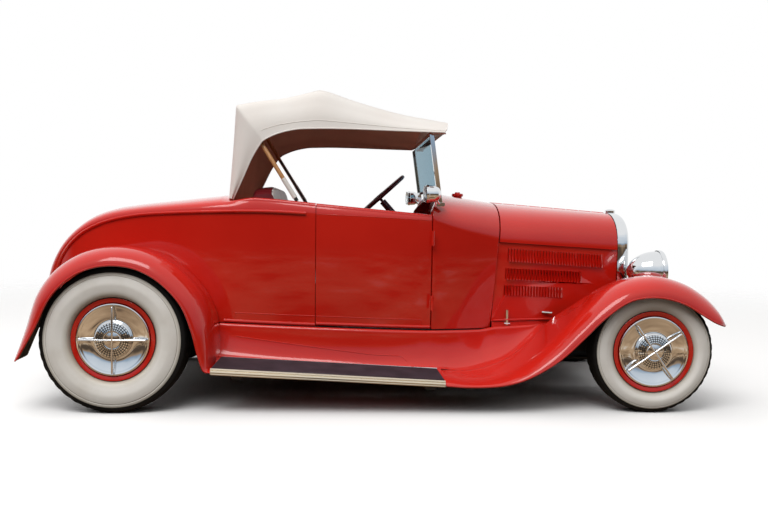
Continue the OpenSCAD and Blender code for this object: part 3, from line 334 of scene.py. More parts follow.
cap_r, clip_r, rim_half, disc_z = 175.0, 154.0, 68.0, 24.0
lip = rim_half + 5
rim = [(rim_r, lip), (rim_r, rim_half), (rim_r - 17, rim_half - 3), (rim_r - 17, 18), (rim_r - 36, 8),
       (rim_r - 36, -30), (rim_r - 17, -40), (rim_r - 17, -rim_half + 3), (rim_r, -rim_half), (rim_r, -lip),
       (rim_r - 5, -lip), (rim_r - 22, -rim_half), (rim_r - 22, -44), (rim_r - 41, -34), (rim_r - 41, 12),
       (rim_r - 22, 22), (rim_r - 22, rim_half), (rim_r - 5, lip), (rim_r, lip)]
drum = [(52, -21), (138, -21), (138, -78), (128, -78), (128, -32), (52, -32), (52, -21)]
for name, hub in wheel_places.items():
    bore, hub_back = (16.1, -31) if "front" in name else (20.1, -78)
    disc = [(rim_r - 39, -8), (rim_r - 39, 6), (clip_r + 2, disc_z), (clip_r - 7, disc_z), (130, 8), (60, 8),
            (60, 20), (bore, 20), (bore, hub_back), (50, hub_back), (50, -20), (130, -4), (rim_r - 39, -8)]
    bm = turned(rim, 96)
    for profile in (disc, drum):
        join(bm, turned(profile, 96))
    bmesh.ops.transform(bm, matrix=hub, verts=bm.verts)
    body = f"wheel_{name}"
    wheel = piece(bm, f"steel_wheel_{name}", red_enamel, body=body, sharp=28, stands_for=body)
    bevel = wheel.modifiers.new("rolled_edge", "BEVEL")
    bevel.width, bevel.segments = 0.0018, 2
    bevel.limit_method, bevel.angle_limit = "ANGLE", math.radians(28)

# Hub caps: spun and plated steel, a dished plate with a rolled rim, a dome pressed with rows of small studs,
# and two crossed bars riveted over it. They snap on to the ring of the disc.

# Chromium plate is a mirror with a cool tint, hazed a little by wiping marks about 17 mm wide.
chrome, tree, spot = new_finish("chromium_plate")
wipe = node(tree, "TexNoise", {"Vector": spot, "Scale": 60, "Detail": 4})
haze = node(tree, "MapRange", {"Value": wipe, "To Min": 0.015, "To Max": 0.06})
bsdf = node(tree, "BsdfPrincipled", {"Base Color": linear("#dfe1e3"), "Metallic": 1.0, "Roughness": haze})
node(tree, "OutputMaterial", {"Surface": bsdf})

# The recess round each stud keeps a grey film, in spots about 11 mm wide, so the studs stand out.
dull_recess, tree, spot = new_finish("dull_recess")
film = node(tree, "TexNoise", {"Vector": spot, "Scale": 90, "Detail": 3})
dull = node(tree, "MapRange", {"Value": film, "To Min": 0.25, "To Max": 0.45})
bsdf = node(tree, "BsdfPrincipled", {"Base Color": linear("#8b8781"), "Metallic": 0.9, "Roughness": dull})
node(tree, "OutputMaterial", {"Surface": bsdf})

front = disc_z + 38
bar_size, bar_taper, bar_round = (0.322, 0.016, 0.016), 0.62, 0.0048
stud_gap, stud_height = 0.0024, 0.004
plate = [(clip_r + 2, disc_z + 0.4), (cap_r - 4, front - 8), (cap_r, front + 3), (cap_r, front + 9),
         (cap_r - 2, front + 12.5), (cap_r - 6, front + 14), (cap_r - 10, front + 13.5),
         (cap_r - 14, front + 11)]
plate += [(r, front - 3 + 14 * ((r - 94) / 64) ** 1.6) for r in np.linspace(cap_r - 18, 95, 12)]
plate += [(92, front - 2), (90, front + 3), (88, front + 14), (84, front + 16.5)]
crown = [(r, front + 29 - 12.5 * (r / 84) ** 2) for r in np.linspace(84, 44, 5)]
crown += [(41, front + 25), (38, front + 28), (26, front + 30), (12, front + 31.5), (0, front + 32)]
for name, hub in wheel_places.items():
    bm = turned(plate, 96)
    part = turned(crown, 36)
    studs = [f for f in part.faces if 0.044 < f.calc_center_median().xy.length < 0.084]
    for recess in bmesh.ops.inset_individual(part, faces=studs, thickness=stud_gap, depth=0)["faces"]:
        recess.material_index = 1
    for stud in studs:
        bmesh.ops.translate(part, verts=stud.verts, vec=stud.normal * stud_height)
    join(bm, part)
    turn = 35 if "front" in name else 0
    for angle in (turn, turn + 90):
        bar = bmesh.ops.create_cube(bm, size=1)["verts"]
        bmesh.ops.scale(bm, vec=bar_size, verts=bar)
        edges = [e for e in bm.edges if all(v in bar for v in e.verts)]
        ends = [v for v in bar if abs(v.co.x) > 0.15]
        bmesh.ops.scale(bm, vec=(1, bar_taper, 1), verts=ends)
        rounded = bmesh.ops.bevel(bm, geom=edges, offset=bar_round, segments=4, profile=0.5, affect="EDGES",
                                  material=-1)
        verts = list({v for f in rounded["faces"] for v in f.verts})
        bmesh.ops.translate(bm, verts=verts, vec=(0, 0, (front + 27) / 1000))
        bmesh.ops.rotate(bm, verts=verts, matrix=Matrix.Rotation(math.radians(angle), 3, "Z"))
    bmesh.ops.transform(bm, matrix=hub, verts=bm.verts)
    piece(bm, f"hub_cap_{name}", chrome, dull_recess, body=f"wheel_{name}", stands_for=f"hubcap_{name}")


# Rear body: the tail and deck are one pressed skin, curved both ways, cut for the deck lid, and the quarter
# panels behind the doors are double-skinned walls with a rounded top. All are welded steel, painted red.
# From here on points are in mm, with x measured from the rear axle.
def place(x, y, z):
    return Vector(((x - rear_axle) / 1000, y / 1000, z / 1000))


def sheet(path, along, across, hand=0):
    made = bmesh.new()
    bmesh.ops.create_grid(made, x_segments=along, y_segments=across, size=0.5)
    for vert in made.verts:
        x, y, z = path(vert.co.x + 0.5, vert.co.y + 0.5)
        vert.co = place(x, -y if hand < 0 else y, z)
    if hand > 0:
        bmesh.ops.reverse_faces(made, faces=made.faces)
    return made


def thicken(obj, thickness, edge=0.0012, inner_material=0):
    skin = obj.modifiers.new("sheet", "SOLIDIFY")
    skin.thickness, skin.offset, skin.use_even_offset = thickness, -1, True
    skin.material_offset = skin.material_offset_rim = inner_material
    bevel = obj.modifiers.new("edge", "BEVEL")
    bevel.width, bevel.segments, bevel.limit_method, bevel.angle_limit = edge, 2, "ANGLE", math.radians(40)
    bevel.harden_normals = True


half_width = [(-460, 296), (-400, 345), (-300, 402), (-150, 452), (0, 490), (200, 533), (450, 575),
              (700, 596), (956, 603), (1250, 600), (1400, 590), (1550, 568), (1700, 512), (1890, 425)]
belt_line = [(-300, 830), (-150, 905), (0, 940), (250, 965), (470, 973), (700, 976), (956, 966),
             (1250, 955), (1550, 940)]
# Rows from the seat to the tail: step, x and height of the belt, x and height of the deck, x of the foot.
tail_rows = [(0, 470, 973, 470, 1062, 470), (1, 250, 965, 250, 1036, 250), (2, 60, 952, 60, 1014, 60),
             (3, -90, 925, -100, 989, -90), (4, -190, 889, -215, 949, -180),
             (5, -268, 844, -308, 886, -250), (6, -333, 783, -390, 804, -305),
             (7, -382, 714, -450, 708, -345), (8, -412, 636, -485, 616, -370),
             (9, -425, 545, -497, 520, -385), (10, -430, 462, -500, 446, -392)]
tuck, wall_share, deck_round = 30, 0.4, 3.2
lid_x, lid_half = (-335, 418), 335


def body_half(x):
    return through(half_width, x)[1]


def sill(x):
    return 429 - 0.0331 * x


def over(share, roundness):
    angle = math.pi / 2 * (3 * share ** 2 - 2 * share ** 3)
    return max(math.cos(angle), 0) ** (2 / roundness), math.sin(angle) ** (2 / roundness)


def tail(u, v):
    _, belt_x, belt_z, deck_x, deck_z, foot_x = through(tail_rows, 10 * (1 - u))
    belt, foot = body_half(belt_x), body_half(foot_x)
    climb, hand = 2 * min(v, 1 - v), 1 if v > 0.5 else -1
    if climb < wall_share:
        q = climb / wall_share
        y = mix(foot, belt, q) - tuck * (1 - q) ** 2
        return mix(foot_x, belt_x, q), hand * y, mix(min(sill(foot_x), 444), belt_z, q)
    wide, high = over((climb - wall_share) / (1 - wall_share), deck_round)
    return mix(belt_x, deck_x, high), hand * belt * wide, mix(belt_z, deck_z, high)


def inside_lid(point, gap):
    x, y = point.x * 1000 + rear_axle, point.y * 1000
    return lid_x[0] + gap < x < lid_x[1] - gap and abs(y) < lid_half - gap and point.z > 0.7


for name, body, solid, gap, edge in (("tail_skin", "chassis", "body_tub", 0, 0.0002),
                                     ("deck_lid_skin", "deck_lid", "deck_lid", 3, 0.003)):
    bm = sheet(tail, 100, 96)
    cuts = [(place(x, 0, 0), (1, 0, 0)) for x in (lid_x[0] + gap, lid_x[1] - gap)]
    cuts += [(Vector((0, y / 1000, 0)), (0, 1, 0)) for y in (gap - lid_half, lid_half - gap)]
    for at, way in cuts:
        geom = bm.verts[:] + bm.edges[:] + bm.faces[:]
        bmesh.ops.bisect_plane(bm, geom=geom, dist=1e-5, plane_co=at, plane_no=way)
    is_lid = name == "deck_lid_skin"
    spare = [face for face in bm.faces if inside_lid(face.calc_center_median(), gap) != is_lid]
    bmesh.ops.delete(bm, geom=spare, context="FACES")
    thicken(piece(bm, name, red_enamel, body=body, stands_for=solid), 0.012, edge)


def shelf(u, v):
    _, y, z = tail(1, mix(0.24, 0.76, v))
    return mix(468, 590, u), y, z - 10 * u


panel = piece(sheet(shelf, 6, 48), "shelf_behind_seat", red_enamel)
panel.modifiers.new("sheet", "SOLIDIFY").thickness = 0.004


def ringed(section, along, around, hand=1):
    made = bmesh.new()
    bmesh.ops.create_cone(made, cap_ends=True, segments=around, radius1=1, radius2=1, depth=1)
    walls = [e for e in made.edges if abs(e.verts[0].co.z - e.verts[1].co.z) > 0.5]
    bmesh.ops.subdivide_edges(made, edges=walls, cuts=along - 1, use_grid_fill=True)
    for vert in made.verts:
        turn = round(math.atan2(vert.co.y, vert.co.x) / math.tau * around) % around
        x, y, z = section(vert.co.z + 0.5, turn / around)
        vert.co = place(x, hand * y, z)
    made.normal_update()
    bmesh.ops.recalc_face_normals(made, faces=made.faces)
    return made


rail_rows = [(470, 1034), (560, 1046), (700, 1043), (956, 1021), (1550, 970)]
rail_lean, wall_thick, rail_bend = 16, 45.0, 15
blend_x, blend_length, deck_top = 469, 190, 1062


def side_skin(x, z):
    w, belt, foot, top = body_half(x), through(belt_line, x)[1], sill(x), through(rail_rows, x)[1]
    if z <= belt:
        return w - tuck * (1 - (z - foot) / (belt - foot)) ** 2
    return w - rail_lean * ((z - belt) / (top - belt)) ** 2


# The section runs up the outer skin to the belt (0.3), over the rounded top (0.6) and down the inner skin.
# Next to the tail its top takes the tail's own roundness.
def wall_section(x0, x1, lift, drop):
    def section(u, t):
        x = mix(x0, x1, u)
        w, belt = body_half(x), through(belt_line, x)[1]
        low, top = sill(x) + lift, through(rail_rows, x)[1] - drop
        if t < 0.3:
            z = mix(low, belt, t / 0.3)
            y = side_skin(x, z)
        elif t < 0.6:
            rise, turn = min((t - 0.3) / 0.14, 1), math.pi * max(t - 0.44, 0) / 0.16
            wall_z, lean = mix(belt, top - rail_bend, rise), math.cos(turn)
            z = wall_z + rail_bend * math.sin(turn) ** 0.8
            y = side_skin(x, wall_z) - wall_thick / 2 * (1 - math.copysign(abs(lean) ** 0.6, lean))
            near = max(1 - (x - blend_x) / blend_length, 0)
            like_tail = near ** 2 * (3 - 2 * near)
            wide = 1 - wall_thick / w * ((t - 0.3) / 0.3) ** 1.6
            deck_z = mix(belt, deck_top, (1 - wide ** deck_round) ** (1 / deck_round))
            y, z = mix(y, w * wide, like_tail), mix(z, deck_z, like_tail)
        else:
            z = mix(top - rail_bend, low, (t - 0.6) / 0.4)
            y = side_skin(x, z) - wall_thick
        return x, y, z
    return section


for side, hand in sides:
    piece(ringed(wall_section(469, 954, 0.4, 0), 60, 120, hand), f"quarter_panel_{side}", red_enamel,
          sharp=50, stands_for="body_tub")

trunk_x, trunk_z = (-412, 640), 552


def trunk_floor(u, v):
    rear = mix(-484, trunk_x[0], abs(2 * v - 1) ** 3)
    half = body_half(mix(*trunk_x, u)) - 34
    return mix(rear, trunk_x[1], u), mix(-1, 1, v) * half, trunk_z


panel = piece(sheet(trunk_floor, 24, 12), "trunk_floor", chassis_enamel)
panel.modifiers.new("sheet", "SOLIDIFY").thickness = 0.003


# Belt moulding: a half-round bead rolled into the red panels along the belt line, from the tail to a rounded
# end behind each door. A second bead and a pressed fold stiffen the lower edge of the body.
def swept(points, radius):
    curve = bpy.data.curves.new("path", "CURVE")
    curve.dimensions, curve.bevel_depth, curve.bevel_resolution = "3D", radius / 1000, 3
    curve.use_fill_caps = True
    spline = curve.splines.new("POLY")
    spline.points.add(len(points) - 1)
    for point, at in zip(spline.points, points):
        point.co = (*place(*at), 1)
    holder = bpy.data.objects.new("path", curve)
    mesh = bpy.data.meshes.new_from_object(holder)
    made = bmesh.new()
    made.from_mesh(mesh)
    bpy.data.objects.remove(holder)
    bpy.data.curves.remove(curve)
    bpy.data.meshes.remove(mesh)
    bmesh.ops.remove_doubles(made, verts=made.verts, dist=1e-6)
    return made


def rod(name, finish, points, radius, **more):
    return piece(swept(points, radius), name, finish, **more)


def low_line(hand, inset, stops):
    return [(x, hand * (side_skin(x, sill(x) + lift) - inset), sill(x) + lift) for x, lift in stops]


bead_r, fold_r = 9, 2.6
for side, hand in sides:
    line = [tail(u, 0.2) for u in np.linspace(0.03, 1, 60)][:-1]
    line += [(x, -body_half(x), through(belt_line, x)[1]) for x in np.linspace(470, 905, 24)]
    rod(f"belt_moulding_{side}", red_enamel, [(x, hand * (3 - y), z) for x, y, z in line], 8)
    foot = low_line(hand, 3, [(x, 9) for x in np.linspace(492, 953, 30)])
    rod(f"lower_edge_bead_{side}", red_enamel, foot, bead_r)
    fold = low_line(hand, 1.4, [(548, 30), *((x, 52) for x in np.linspace(550, 953, 24))])
    rod(f"pressed_fold_{side}", red_enamel, fold, fold_r)

# Doors: double-skinned steel walls in red, cut at the shut lines, with the body's bead and folds carried
# across them. Each hangs at the front on two outside hinges, whose turned barrels alternate with the cowl's.
hinge_x, hinge_y, barrel_r = 1549, 588, 8
for side, hand in sides:
    body = f"door_{side}"
    piece(ringed(wall_section(957, 1544, 5, 1), 48, 120, hand), f"door_skin_{side}", red_enamel, body=body,
          sharp=50, stands_for=body)
    foot = low_line(hand, 3, [(x, 14) for x in np.linspace(960, 1541, 30)])
    rod(f"door_foot_bead_{side}", red_enamel, foot, bead_r, body=body)
    fold = low_line(hand, 1.4, [*((x, 52) for x in np.linspace(960, 1490, 24)), (1500, 44), (1504, 30)])
    crease = [(x, hand * (body_half(x) - 1.6), through(belt_line, x)[1]) for x in np.linspace(960, 1541, 24)]
    for number, line in enumerate((fold, crease)):
        rod(f"door_pressed_fold_{side}_{number}", red_enamel, line, fold_r, body=body)
    for number, z in enumerate((520, 850)):
        barrels = [(f"door_hinge_barrel_{side}_{number}", body, z - 14, z + 14)]
        for half, (z0, z1) in enumerate(((z - 38, z - 14.5), (z + 14.5, z + 38))):
            barrels.append((f"cowl_hinge_barrel_{side}_{number}_{half}", "chassis", z0, z1))
        for name, holder, z0, z1 in barrels:
            pin = [(hinge_x, hand * hinge_y, at) for at in (z0, z1)]
            rod(name, red_enamel, pin, barrel_r, body=holder)


# Cowl: one pressing from the door posts to the hood, rolled over the top, with the dashboard and the
# firewall inside it. It is bolted to the frame and carries the windshield, the door hinges and a screwed
# filler cap.
def seam_x(z):
    return 1884 + 0.075 * (z - 405)


hood_round = 2.4


def cowl_skin(u, v):
    w, belt, top = body_half(mix(1553, 1890, u)), mix(944, 832, u ** 0.8), mix(1092, 1041, u)
    climb, hand = 2 * min(v, 1 - v), 1 if v > 0.5 else -1
    if climb < wall_share:
        q = climb / wall_share
        y, z = w - tuck * (1 - q) ** 2, mix(sill(mix(1545, 1884, u)) + 0.4, belt, q)
    else:
        wide, high = over((climb - wall_share) / (1 - wall_share), hood_round)
        y, z = w * wide, mix(belt, top, high)
    return mix(1551 + max(0, z - 1000) * 0.5, seam_x(z) + 1, u), hand * y, z


def mounted(profile, steps, quarters, at):
    made = turned(profile, steps)
    bmesh.ops.rotate(made, verts=made.verts, matrix=Matrix.Rotation(quarters * math.pi / 2, 3, "Y"))
    bmesh.ops.translate(made, verts=made.verts, vec=place(*at))
    return made


thicken(piece(sheet(cowl_skin, 36, 120), "cowl_skin", red_enamel, stands_for="cowl"), 0.026, 0.004)
inside, mid_z = 0.95, 700
for name, share, x, lowest in (("dashboard", 0.25, 1622, 890), ("firewall", 0.96, 1868, 380)):
    bm = bmesh.new()
    for v in np.linspace(0, 1, 61):
        _, y, z = cowl_skin(share, v)
        bm.verts.new(place(x, y * inside, max(mid_z + (z - mid_z) * inside, lowest)))
    verts = bm.verts[:]
    for pair in zip(verts, verts[1:] + verts[:1]):
        bm.edges.new(pair)
    bmesh.ops.remove_doubles(bm, verts=bm.verts, dist=1e-5)
    bmesh.ops.edgeloop_fill(bm, edges=bm.edges)
    bm.normal_update()
    forward = [face for face in bm.faces if face.normal.x > 0]
    bmesh.ops.reverse_faces(bm, faces=forward)
    panel = piece(bm, name, red_enamel)
    panel.modifiers.new("plate", "SOLIDIFY").thickness = 0.012
filler = [(0, 0), (26, 0), (25, 22), (26, 25), (32, 27), (33, 30), (33, 38), (30, 42),
          (16, 44), (14, 50), (0, 51)]
piece(mounted(filler, 40, 0, (1750, 0, 1050)), "filler_cap", red_enamel)

# Hood: two lids of pressed steel on a centre rod between louvred side panels, all in red. The lids turn on
# alternate barrels of one piano hinge, and each side panel has a lacing ledge inside its upper edge.
hood_wide = (425, 268)
rod_rear, rod_front = Vector((1937.7, 0, 1037)), Vector((2606, 0, 987))
barrels = 9


def hood_half(x):
    return mix(*hood_wide, (x - 1884) / 722)


def hood_top(u, v):
    wide, belt, top = mix(*hood_wide, u), mix(832, 790, u), mix(1041, 991, u)
    y, high = over(v, hood_round)
    z = mix(belt - 3, top, high)
    return mix(seam_x(z) + 6, 2606, u), max(wide * y, 9), z


def lacing_ledge(hand):
    return lambda u, v: (mix(1922, 2604, u), hand * (mix(*hood_wide, u) - 17), mix(800, 846, v) - 42 * u)


def hood_foot(hand):
    return lambda u, v: (mix(1888, 2240, u), hand * (hood_half(mix(1888, 2240, u)) - 11), mix(366, 403, v))


for side, hand, first in (("left", 1, 1), ("right", -1, 0)):
    body = f"hood_top_{side}"
    bm = sheet(hood_top, 40, 48, hand)
    thicken(piece(bm, f"hood_lid_{side}", red_enamel, body=body, stands_for=body), 0.008)
    for i in range(first, barrels, 2):
        ends = [rod_rear.lerp(rod_front, (i + share) / barrels) for share in (0.04, 0.96)]
        rod(f"hood_barrel_{side}_{i}", red_enamel, ends, barrel_r, body=body)
    for name, finish, path, across in ((f"lacing_ledge_{side}", chassis_enamel, lacing_ledge(hand), 2),
                                       (f"hood_sill_{side}", red_enamel, hood_foot(hand), 4)):
        strip = piece(sheet(path, 12, across), name, finish)
        strip.modifiers.new("strip", "SOLIDIFY").thickness = 0.003
    foot = [(x, hand * (hood_half(x) - 3), 415) for x in (1894, 2262)]
    rod(f"hood_side_bead_{side}", red_enamel, foot, 4)


def cad_copy(name):
    made = bmesh.new()
    made.from_mesh(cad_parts[name].data)
    made.transform(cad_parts[name].matrix_world)
    bmesh.ops.remove_doubles(made, verts=made.verts, dist=1e-6)
    return made


# The louvres' low faces lie behind the panel's plane, which is fitted to its large faces. They are pressed
# in further, so that each slot holds a shadow.
pressed, deeper = 0.002, 0.012
bm = cad_copy("hood_sides")
for hand in (1, -1):
    outer = [face for face in bm.faces
             if face.normal.y * hand > 0.7 and face.calc_center_median().y * hand > 0]
    flat = [face.calc_center_median() for face in outer if face.calc_area() > 4e-4]
    plane, *_ = np.linalg.lstsq([(at.x, at.z, 1) for at in flat], [at.y * hand for at in flat], rcond=None)
    low = set()
    for face in outer:
        at = face.calc_center_median()
        if np.dot(plane, (at.x, at.z, 1)) - at.y * hand > pressed:
            low.update(face.verts)
    bmesh.ops.translate(bm, verts=list(low), vec=(0, -hand * deeper, 0))
piece(bm, "louvred_hood_sides", red_enamel, sharp=12, stands_for="hood_sides")

# Hood catches: a plated spring latch with its hook at the rear of each side panel, and a plated turned
# handle at the panel's middle. They are rods swept along short lines, and they are riveted on.
for side, hand in sides:
    y = mix(*hood_wide, 0.12) - 17
    rod(f"hood_latch_{side}", chrome, [(1973, hand * (y + 7), 386), (1973, hand * (y + 9), 466)], 8)
    hook = [(x, hand * (y + 10), 393) for x in (1958, 1988)]
    rod(f"hood_latch_hook_{side}", chrome, hook, 6)
    y = mix(*hood_wide, 0.45) - 17
    rod(f"hood_handle_{side}", chrome, [(2172, hand * (y + 12), 450), (2226, hand * (y + 16), 447)], 6)


# Radiator shell: a deep plated pressing round the core, which is a block of black fins. It stands on the
# front crossmember, and its filler cap is plated too.
def shell_outline(inset, share):
    w, foot = 262 - inset, 402.4 + inset * 0.6
    points = [(-w + 20, foot), (-w, 560)]
    for turn in np.linspace(0, math.pi, 41):
        bend = math.cos(turn)
        points.append((-math.copysign(abs(bend) ** (2 / hood_round), bend) * w,
                       mix(800, 994 - inset, math.sin(turn) ** (2 / hood_round))))
    points += [(w, 560), (w - 20, foot), (-w + 20, foot)]
    step = share * (len(points) - 1)
    i = min(int(step), len(points) - 2)
    return mix(points[i][0], points[i + 1][0], step - i), mix(points[i][1], points[i + 1][1], step - i)


# From the hood's edge round the front to the core: step, x and inset from the outline.
shell_section = [(0, 2610, 0), (1, 2630, 0), (2, 2650, 1), (3, 2664, 5), (4, 2673, 12), (5, 2677, 21),
                 (6, 2677, 30), (7, 2672, 36), (8, 2662, 38), (9, 2619, 38.5), (10, 2611, 44)]


def shell_skin(u, v):
    _, x, inset = through(shell_section, 10 * u)
    return x, *shell_outline(inset, v)


bm = sheet(shell_skin, 40, 135)
bmesh.ops.remove_doubles(bm, verts=bm.verts, dist=1e-5)
bmesh.ops.recalc_face_normals(bm, faces=bm.faces)
shell = piece(bm, "plated_shell", chrome, sharp=60, stands_for="radiator_shell")
shell.modifiers.new("sheet", "SOLIDIFY").thickness = 0.002
cap = [(0, 0), (24, 0), (26, 2), (26, 12), (30, 13), (30, 24), (26, 29), (14, 33), (0, 34)]
piece(mounted(cap, 12, 0, (2645, 0, 980)), "radiator_cap", chrome)
dress(chrome, "hood_hinge_rod")

# A wave texture of scale 1 repeats every 0.314 m. The core shows a comb of black fins every 8 mm, coarser
# than real ones, crossed by tubes every 14 mm. The gaps between fins and tubes are darker with painted shade.
wave_length = 0.314
core_black, tree, spot = new_finish("core_black")
fins = node(tree, "TexWave", {"Vector": spot, "Scale": wave_length / 0.008}, bands_direction="Z")
tubes = node(tree, "TexWave", {"Vector": spot, "Scale": wave_length / 0.014}, bands_direction="Y")
comb = node(tree, "Math", {0: fins.outputs["Fac"], 1: tubes.outputs["Fac"]}, operation="MULTIPLY")
# Painted shade: the colour darkens where the comb is low, in the gaps between fins and tubes.
tint = node(tree, "ValToRGB", {"Fac": comb}, ((0.1, "#0b0a0a"), (0.6, "#232121")))
ridge = node(tree, "Bump", {"Height": comb, "Strength": 0.6, "Distance": 0.002})
bsdf = node(tree, "BsdfPrincipled", {"Base Color": tint, "Roughness": 0.5, "Metallic": 0.4, "Normal": ridge})
node(tree, "OutputMaterial", {"Surface": bsdf})
dress(core_black, "radiator_core")

# Headlamps: spun and plated shells shaped like an egg, each with a rolled rim that clamps a fluted lens.
# They sit on posts from the frame horns, tied by a bar.

# Lens glass is clear, with upright flutes 12 mm wide that break up what is seen through it.
lens_glass, tree, spot = new_finish("lens_glass")
flutes = node(tree, "TexWave", {"Vector": spot, "Scale": wave_length / 0.012}, bands_direction="Y")
ridge = node(tree, "Bump", {"Height": flutes.outputs["Fac"], "Strength": 0.5, "Distance": 0.002})
bsdf = node(tree, "BsdfPrincipled", {"Base Color": linear("#eef4f6"), "Roughness": 0.05, "IOR": 1.45,
                                     "Transmission Weight": 0.9, "Normal": ridge})
node(tree, "OutputMaterial", {"Surface": bsdf})

egg_r, egg_length = 108, 166
egg = [(egg_r * (1 - (1 - h / egg_length) ** 2.1) ** 0.62, h)
       for h in (0, 1, 3, 7, 13, 21, 32, 46, 62, 80, 100, 122, 142, 156)]
egg += [(107, 160), (108, 163), (112, 164), (114, 168), (114, 182), (112, 187)]
egg += [(106, 190), (99, 188), (98, 176), (98, 150), (70, 90), (0, 60)]
lens = [(0, 176), (97.5, 176), (97.5, 184), (60, 192), (0, 196)]
post_x, post_y = 2735, 345
for side, hand in sides:
    at = (2628, hand * 360, 678)
    piece(mounted(egg, 64, 1, at), f"headlamp_shell_{side}", chrome, stands_for="headlamps")
    post = [(post_x, hand * post_y, 403), (post_x, hand * (post_y + 1), 566),
            (post_x - 2, hand * (post_y + 7), 585)]
    rod(f"headlamp_post_{side}", chrome, post, 11)
    piece(mounted(lens, 64, 1, at), f"fluted_lens_{side}", lens_glass, stands_for="headlamp_lenses")
rod("headlamp_bar", chrome, [(post_x, -post_y, 520), (post_x, post_y, 520)], 9)

# Fenders: each one is a single long sheet, crowned across and swept along, with a rolled lip. They are
# bolted to the frame and the running boards, painted red outside and in chassis enamel underneath.

# Rows: step, x and height of the crown, x and height of the outer lip, y and height of the inner edge.
crown_y, lip_y, lip_r = 700, 842, 5.5
front_fender_rows = [
    (0, 1592, 181, 1592, 148, 600, 187), (1, 1720, 163, 1722, 141, 585, 172),
    (2, 1860, 174, 1880, 150, 540, 190), (3, 1980, 224, 2010, 190, 500, 236),
    (4, 2100, 318, 2150, 275, 455, 322), (5, 2215, 433, 2262, 378, 415, 428),
    (6, 2320, 535, 2356, 472, 385, 470), (7, 2420, 618, 2462, 550, 368, 455),
    (8, 2530, 664, 2550, 578, 362, 445), (9, 2660, 676, 2656, 578, 362, 445),
    (10, 2790, 643, 2762, 547, 368, 455), (11, 2886, 588, 2848, 497, 410, 468),
    (12, 2952, 524, 2918, 458, 510, 470), (13, 2990, 452, 2980, 438, 640, 445)]
rear_fender_rows = [
    (0, -465, 252, -434, 262, 620, 256), (1, -420, 405, -352, 412, 560, 400),
    (2, -370, 570, -285, 552, 450, 562), (3, -280, 690, -200, 645, side_skin(-280, 672) + 9, 672),
    (4, -150, 772, -100, 698, side_skin(-150, 757) + 9, 757),
    (5, 0, 800, 10, 715, side_skin(0, 787) + 2, 787),
    (6, 150, 780, 125, 697, side_skin(150, 767) + 2, 767),
    (7, 280, 712, 235, 634, side_skin(280, 702) + 2, 702),
    (8, 395, 597, 330, 530, side_skin(395, 590) + 2, 590),
    (9, 455, 480, 380, 410, side_skin(455, 478) + 2, 478), (10, 476, 350, 408, 302, 552, 350),
    (11, 478, 240, 428, 238, 552, 242), (11.5, 479, 221, 440, 215, 552, 222),
    (12, 480, 212, 466, 206, 552, 212)]


def fender_skin(rows, tip_in):
    last = rows[-1][0]

    def skin(u, v):
        _, crown_x, crown_z, lip_x, lip_z, inner_y, inner_z = through(rows, u * last)
        turn = math.pi / 2 * abs(1 - 2 * v)
        fall = 1 - math.cos(turn)
        if v < 0.5:
            edge_y = lip_y - tip_in * max(0, u * last - last + 1) ** 2
            y = mix(crown_y, edge_y, math.sin(turn))
            return mix(crown_x, lip_x, fall), y, mix(crown_z, lip_z, fall)
        return crown_x, mix(crown_y, inner_y, math.sin(turn)), mix(crown_z, inner_z, fall)
    return skin


for end, rows, tip_in in (("front", front_fender_rows, 40), ("rear", rear_fender_rows, 0)):
    for side, hand in sides:
        skin = fender_skin(rows, tip_in)
        fender = piece(sheet(skin, 110, 56, hand), f"{end}_fender_{side}", red_enamel, chassis_enamel,
                       stands_for=f"{end}_fenders")
        thicken(fender, 0.005, inner_material=1)
        edge = [(x, hand * (y - 3), z) for x, y, z in (skin(u, 0) for u in np.linspace(0.004, 0.985, 90))]
        rod(f"{end}_fender_lip_{side}", red_enamel, edge, lip_r)


# Splash aprons: one long red sheet on each side between the body and the running board, flared at its foot
# and rolled over at its top, where it is bolted to the frame. A shallow panel line is pressed into it.
def board_z(x):
    return 232 - 0.0508 * (x - 476)


inner_edge = [(row[1], row[5], row[6]) for row in front_fender_rows]
fender_start, flare_share, roll_r = 1592, 0.7, 14


def apron_skin(u, v):
    x = mix(472, 2178, u)
    under_hood = min(max((x - 1820) / 80, 0), 1)
    top_y = mix(body_half(min(x, 1890)) - 34 + 6.8, hood_half(x) - 10, under_hood)
    top_z = mix(sill(x) - 4, 378 + 0.03 * max(x - 1900, 0), under_hood)
    _, low_y, low_z = through(inner_edge, max(x, fender_start))
    on_step = min(max((1640 - x) / 80, 0), 1)
    low_y, low_z = mix(low_y, 622, on_step), mix(low_z + 0.5, board_z(x) + 13, on_step)
    roll = min(roll_r, max(top_z - low_z, 4) / 4)
    if v < flare_share:
        turn = math.pi / 2 * v / flare_share
        y = mix(low_y, top_y + roll, math.sin(turn))
        z = mix(low_z, top_z - roll, 1 - math.cos(turn))
    else:
        turn = math.pi / 2 * (v - flare_share) / (1 - flare_share)
        y, z = top_y + roll * math.cos(turn), top_z - roll * (1 - math.sin(turn))
    return x, y, z


for side, hand in sides:
    apron = piece(sheet(apron_skin, 170, 30, hand), f"splash_apron_{side}", red_enamel, chassis_enamel,
                  stands_for="splash_aprons")
    thicken(apron, 0.004, inner_material=1)
    fold = []
    for q in np.linspace(0, 1, 60):
        climb = mix(0.56, 0.36, min(q * 1.25, 1)) - 0.12 * max(0, q - 0.96) / 0.04
        x, y, z = apron_skin(mix(0.05, 0.56, q), climb)
        fold.append((x, hand * y, z))
    rod(f"apron_pressed_fold_{side}", red_enamel, fold, 2.2)

# Running boards: pressed steel steps in red between the fenders' ends, covered by a ribbed rubber mat, edged
# with a plated strip inside and a wider ribbed strip outside. They are bolted to brackets on the frame.

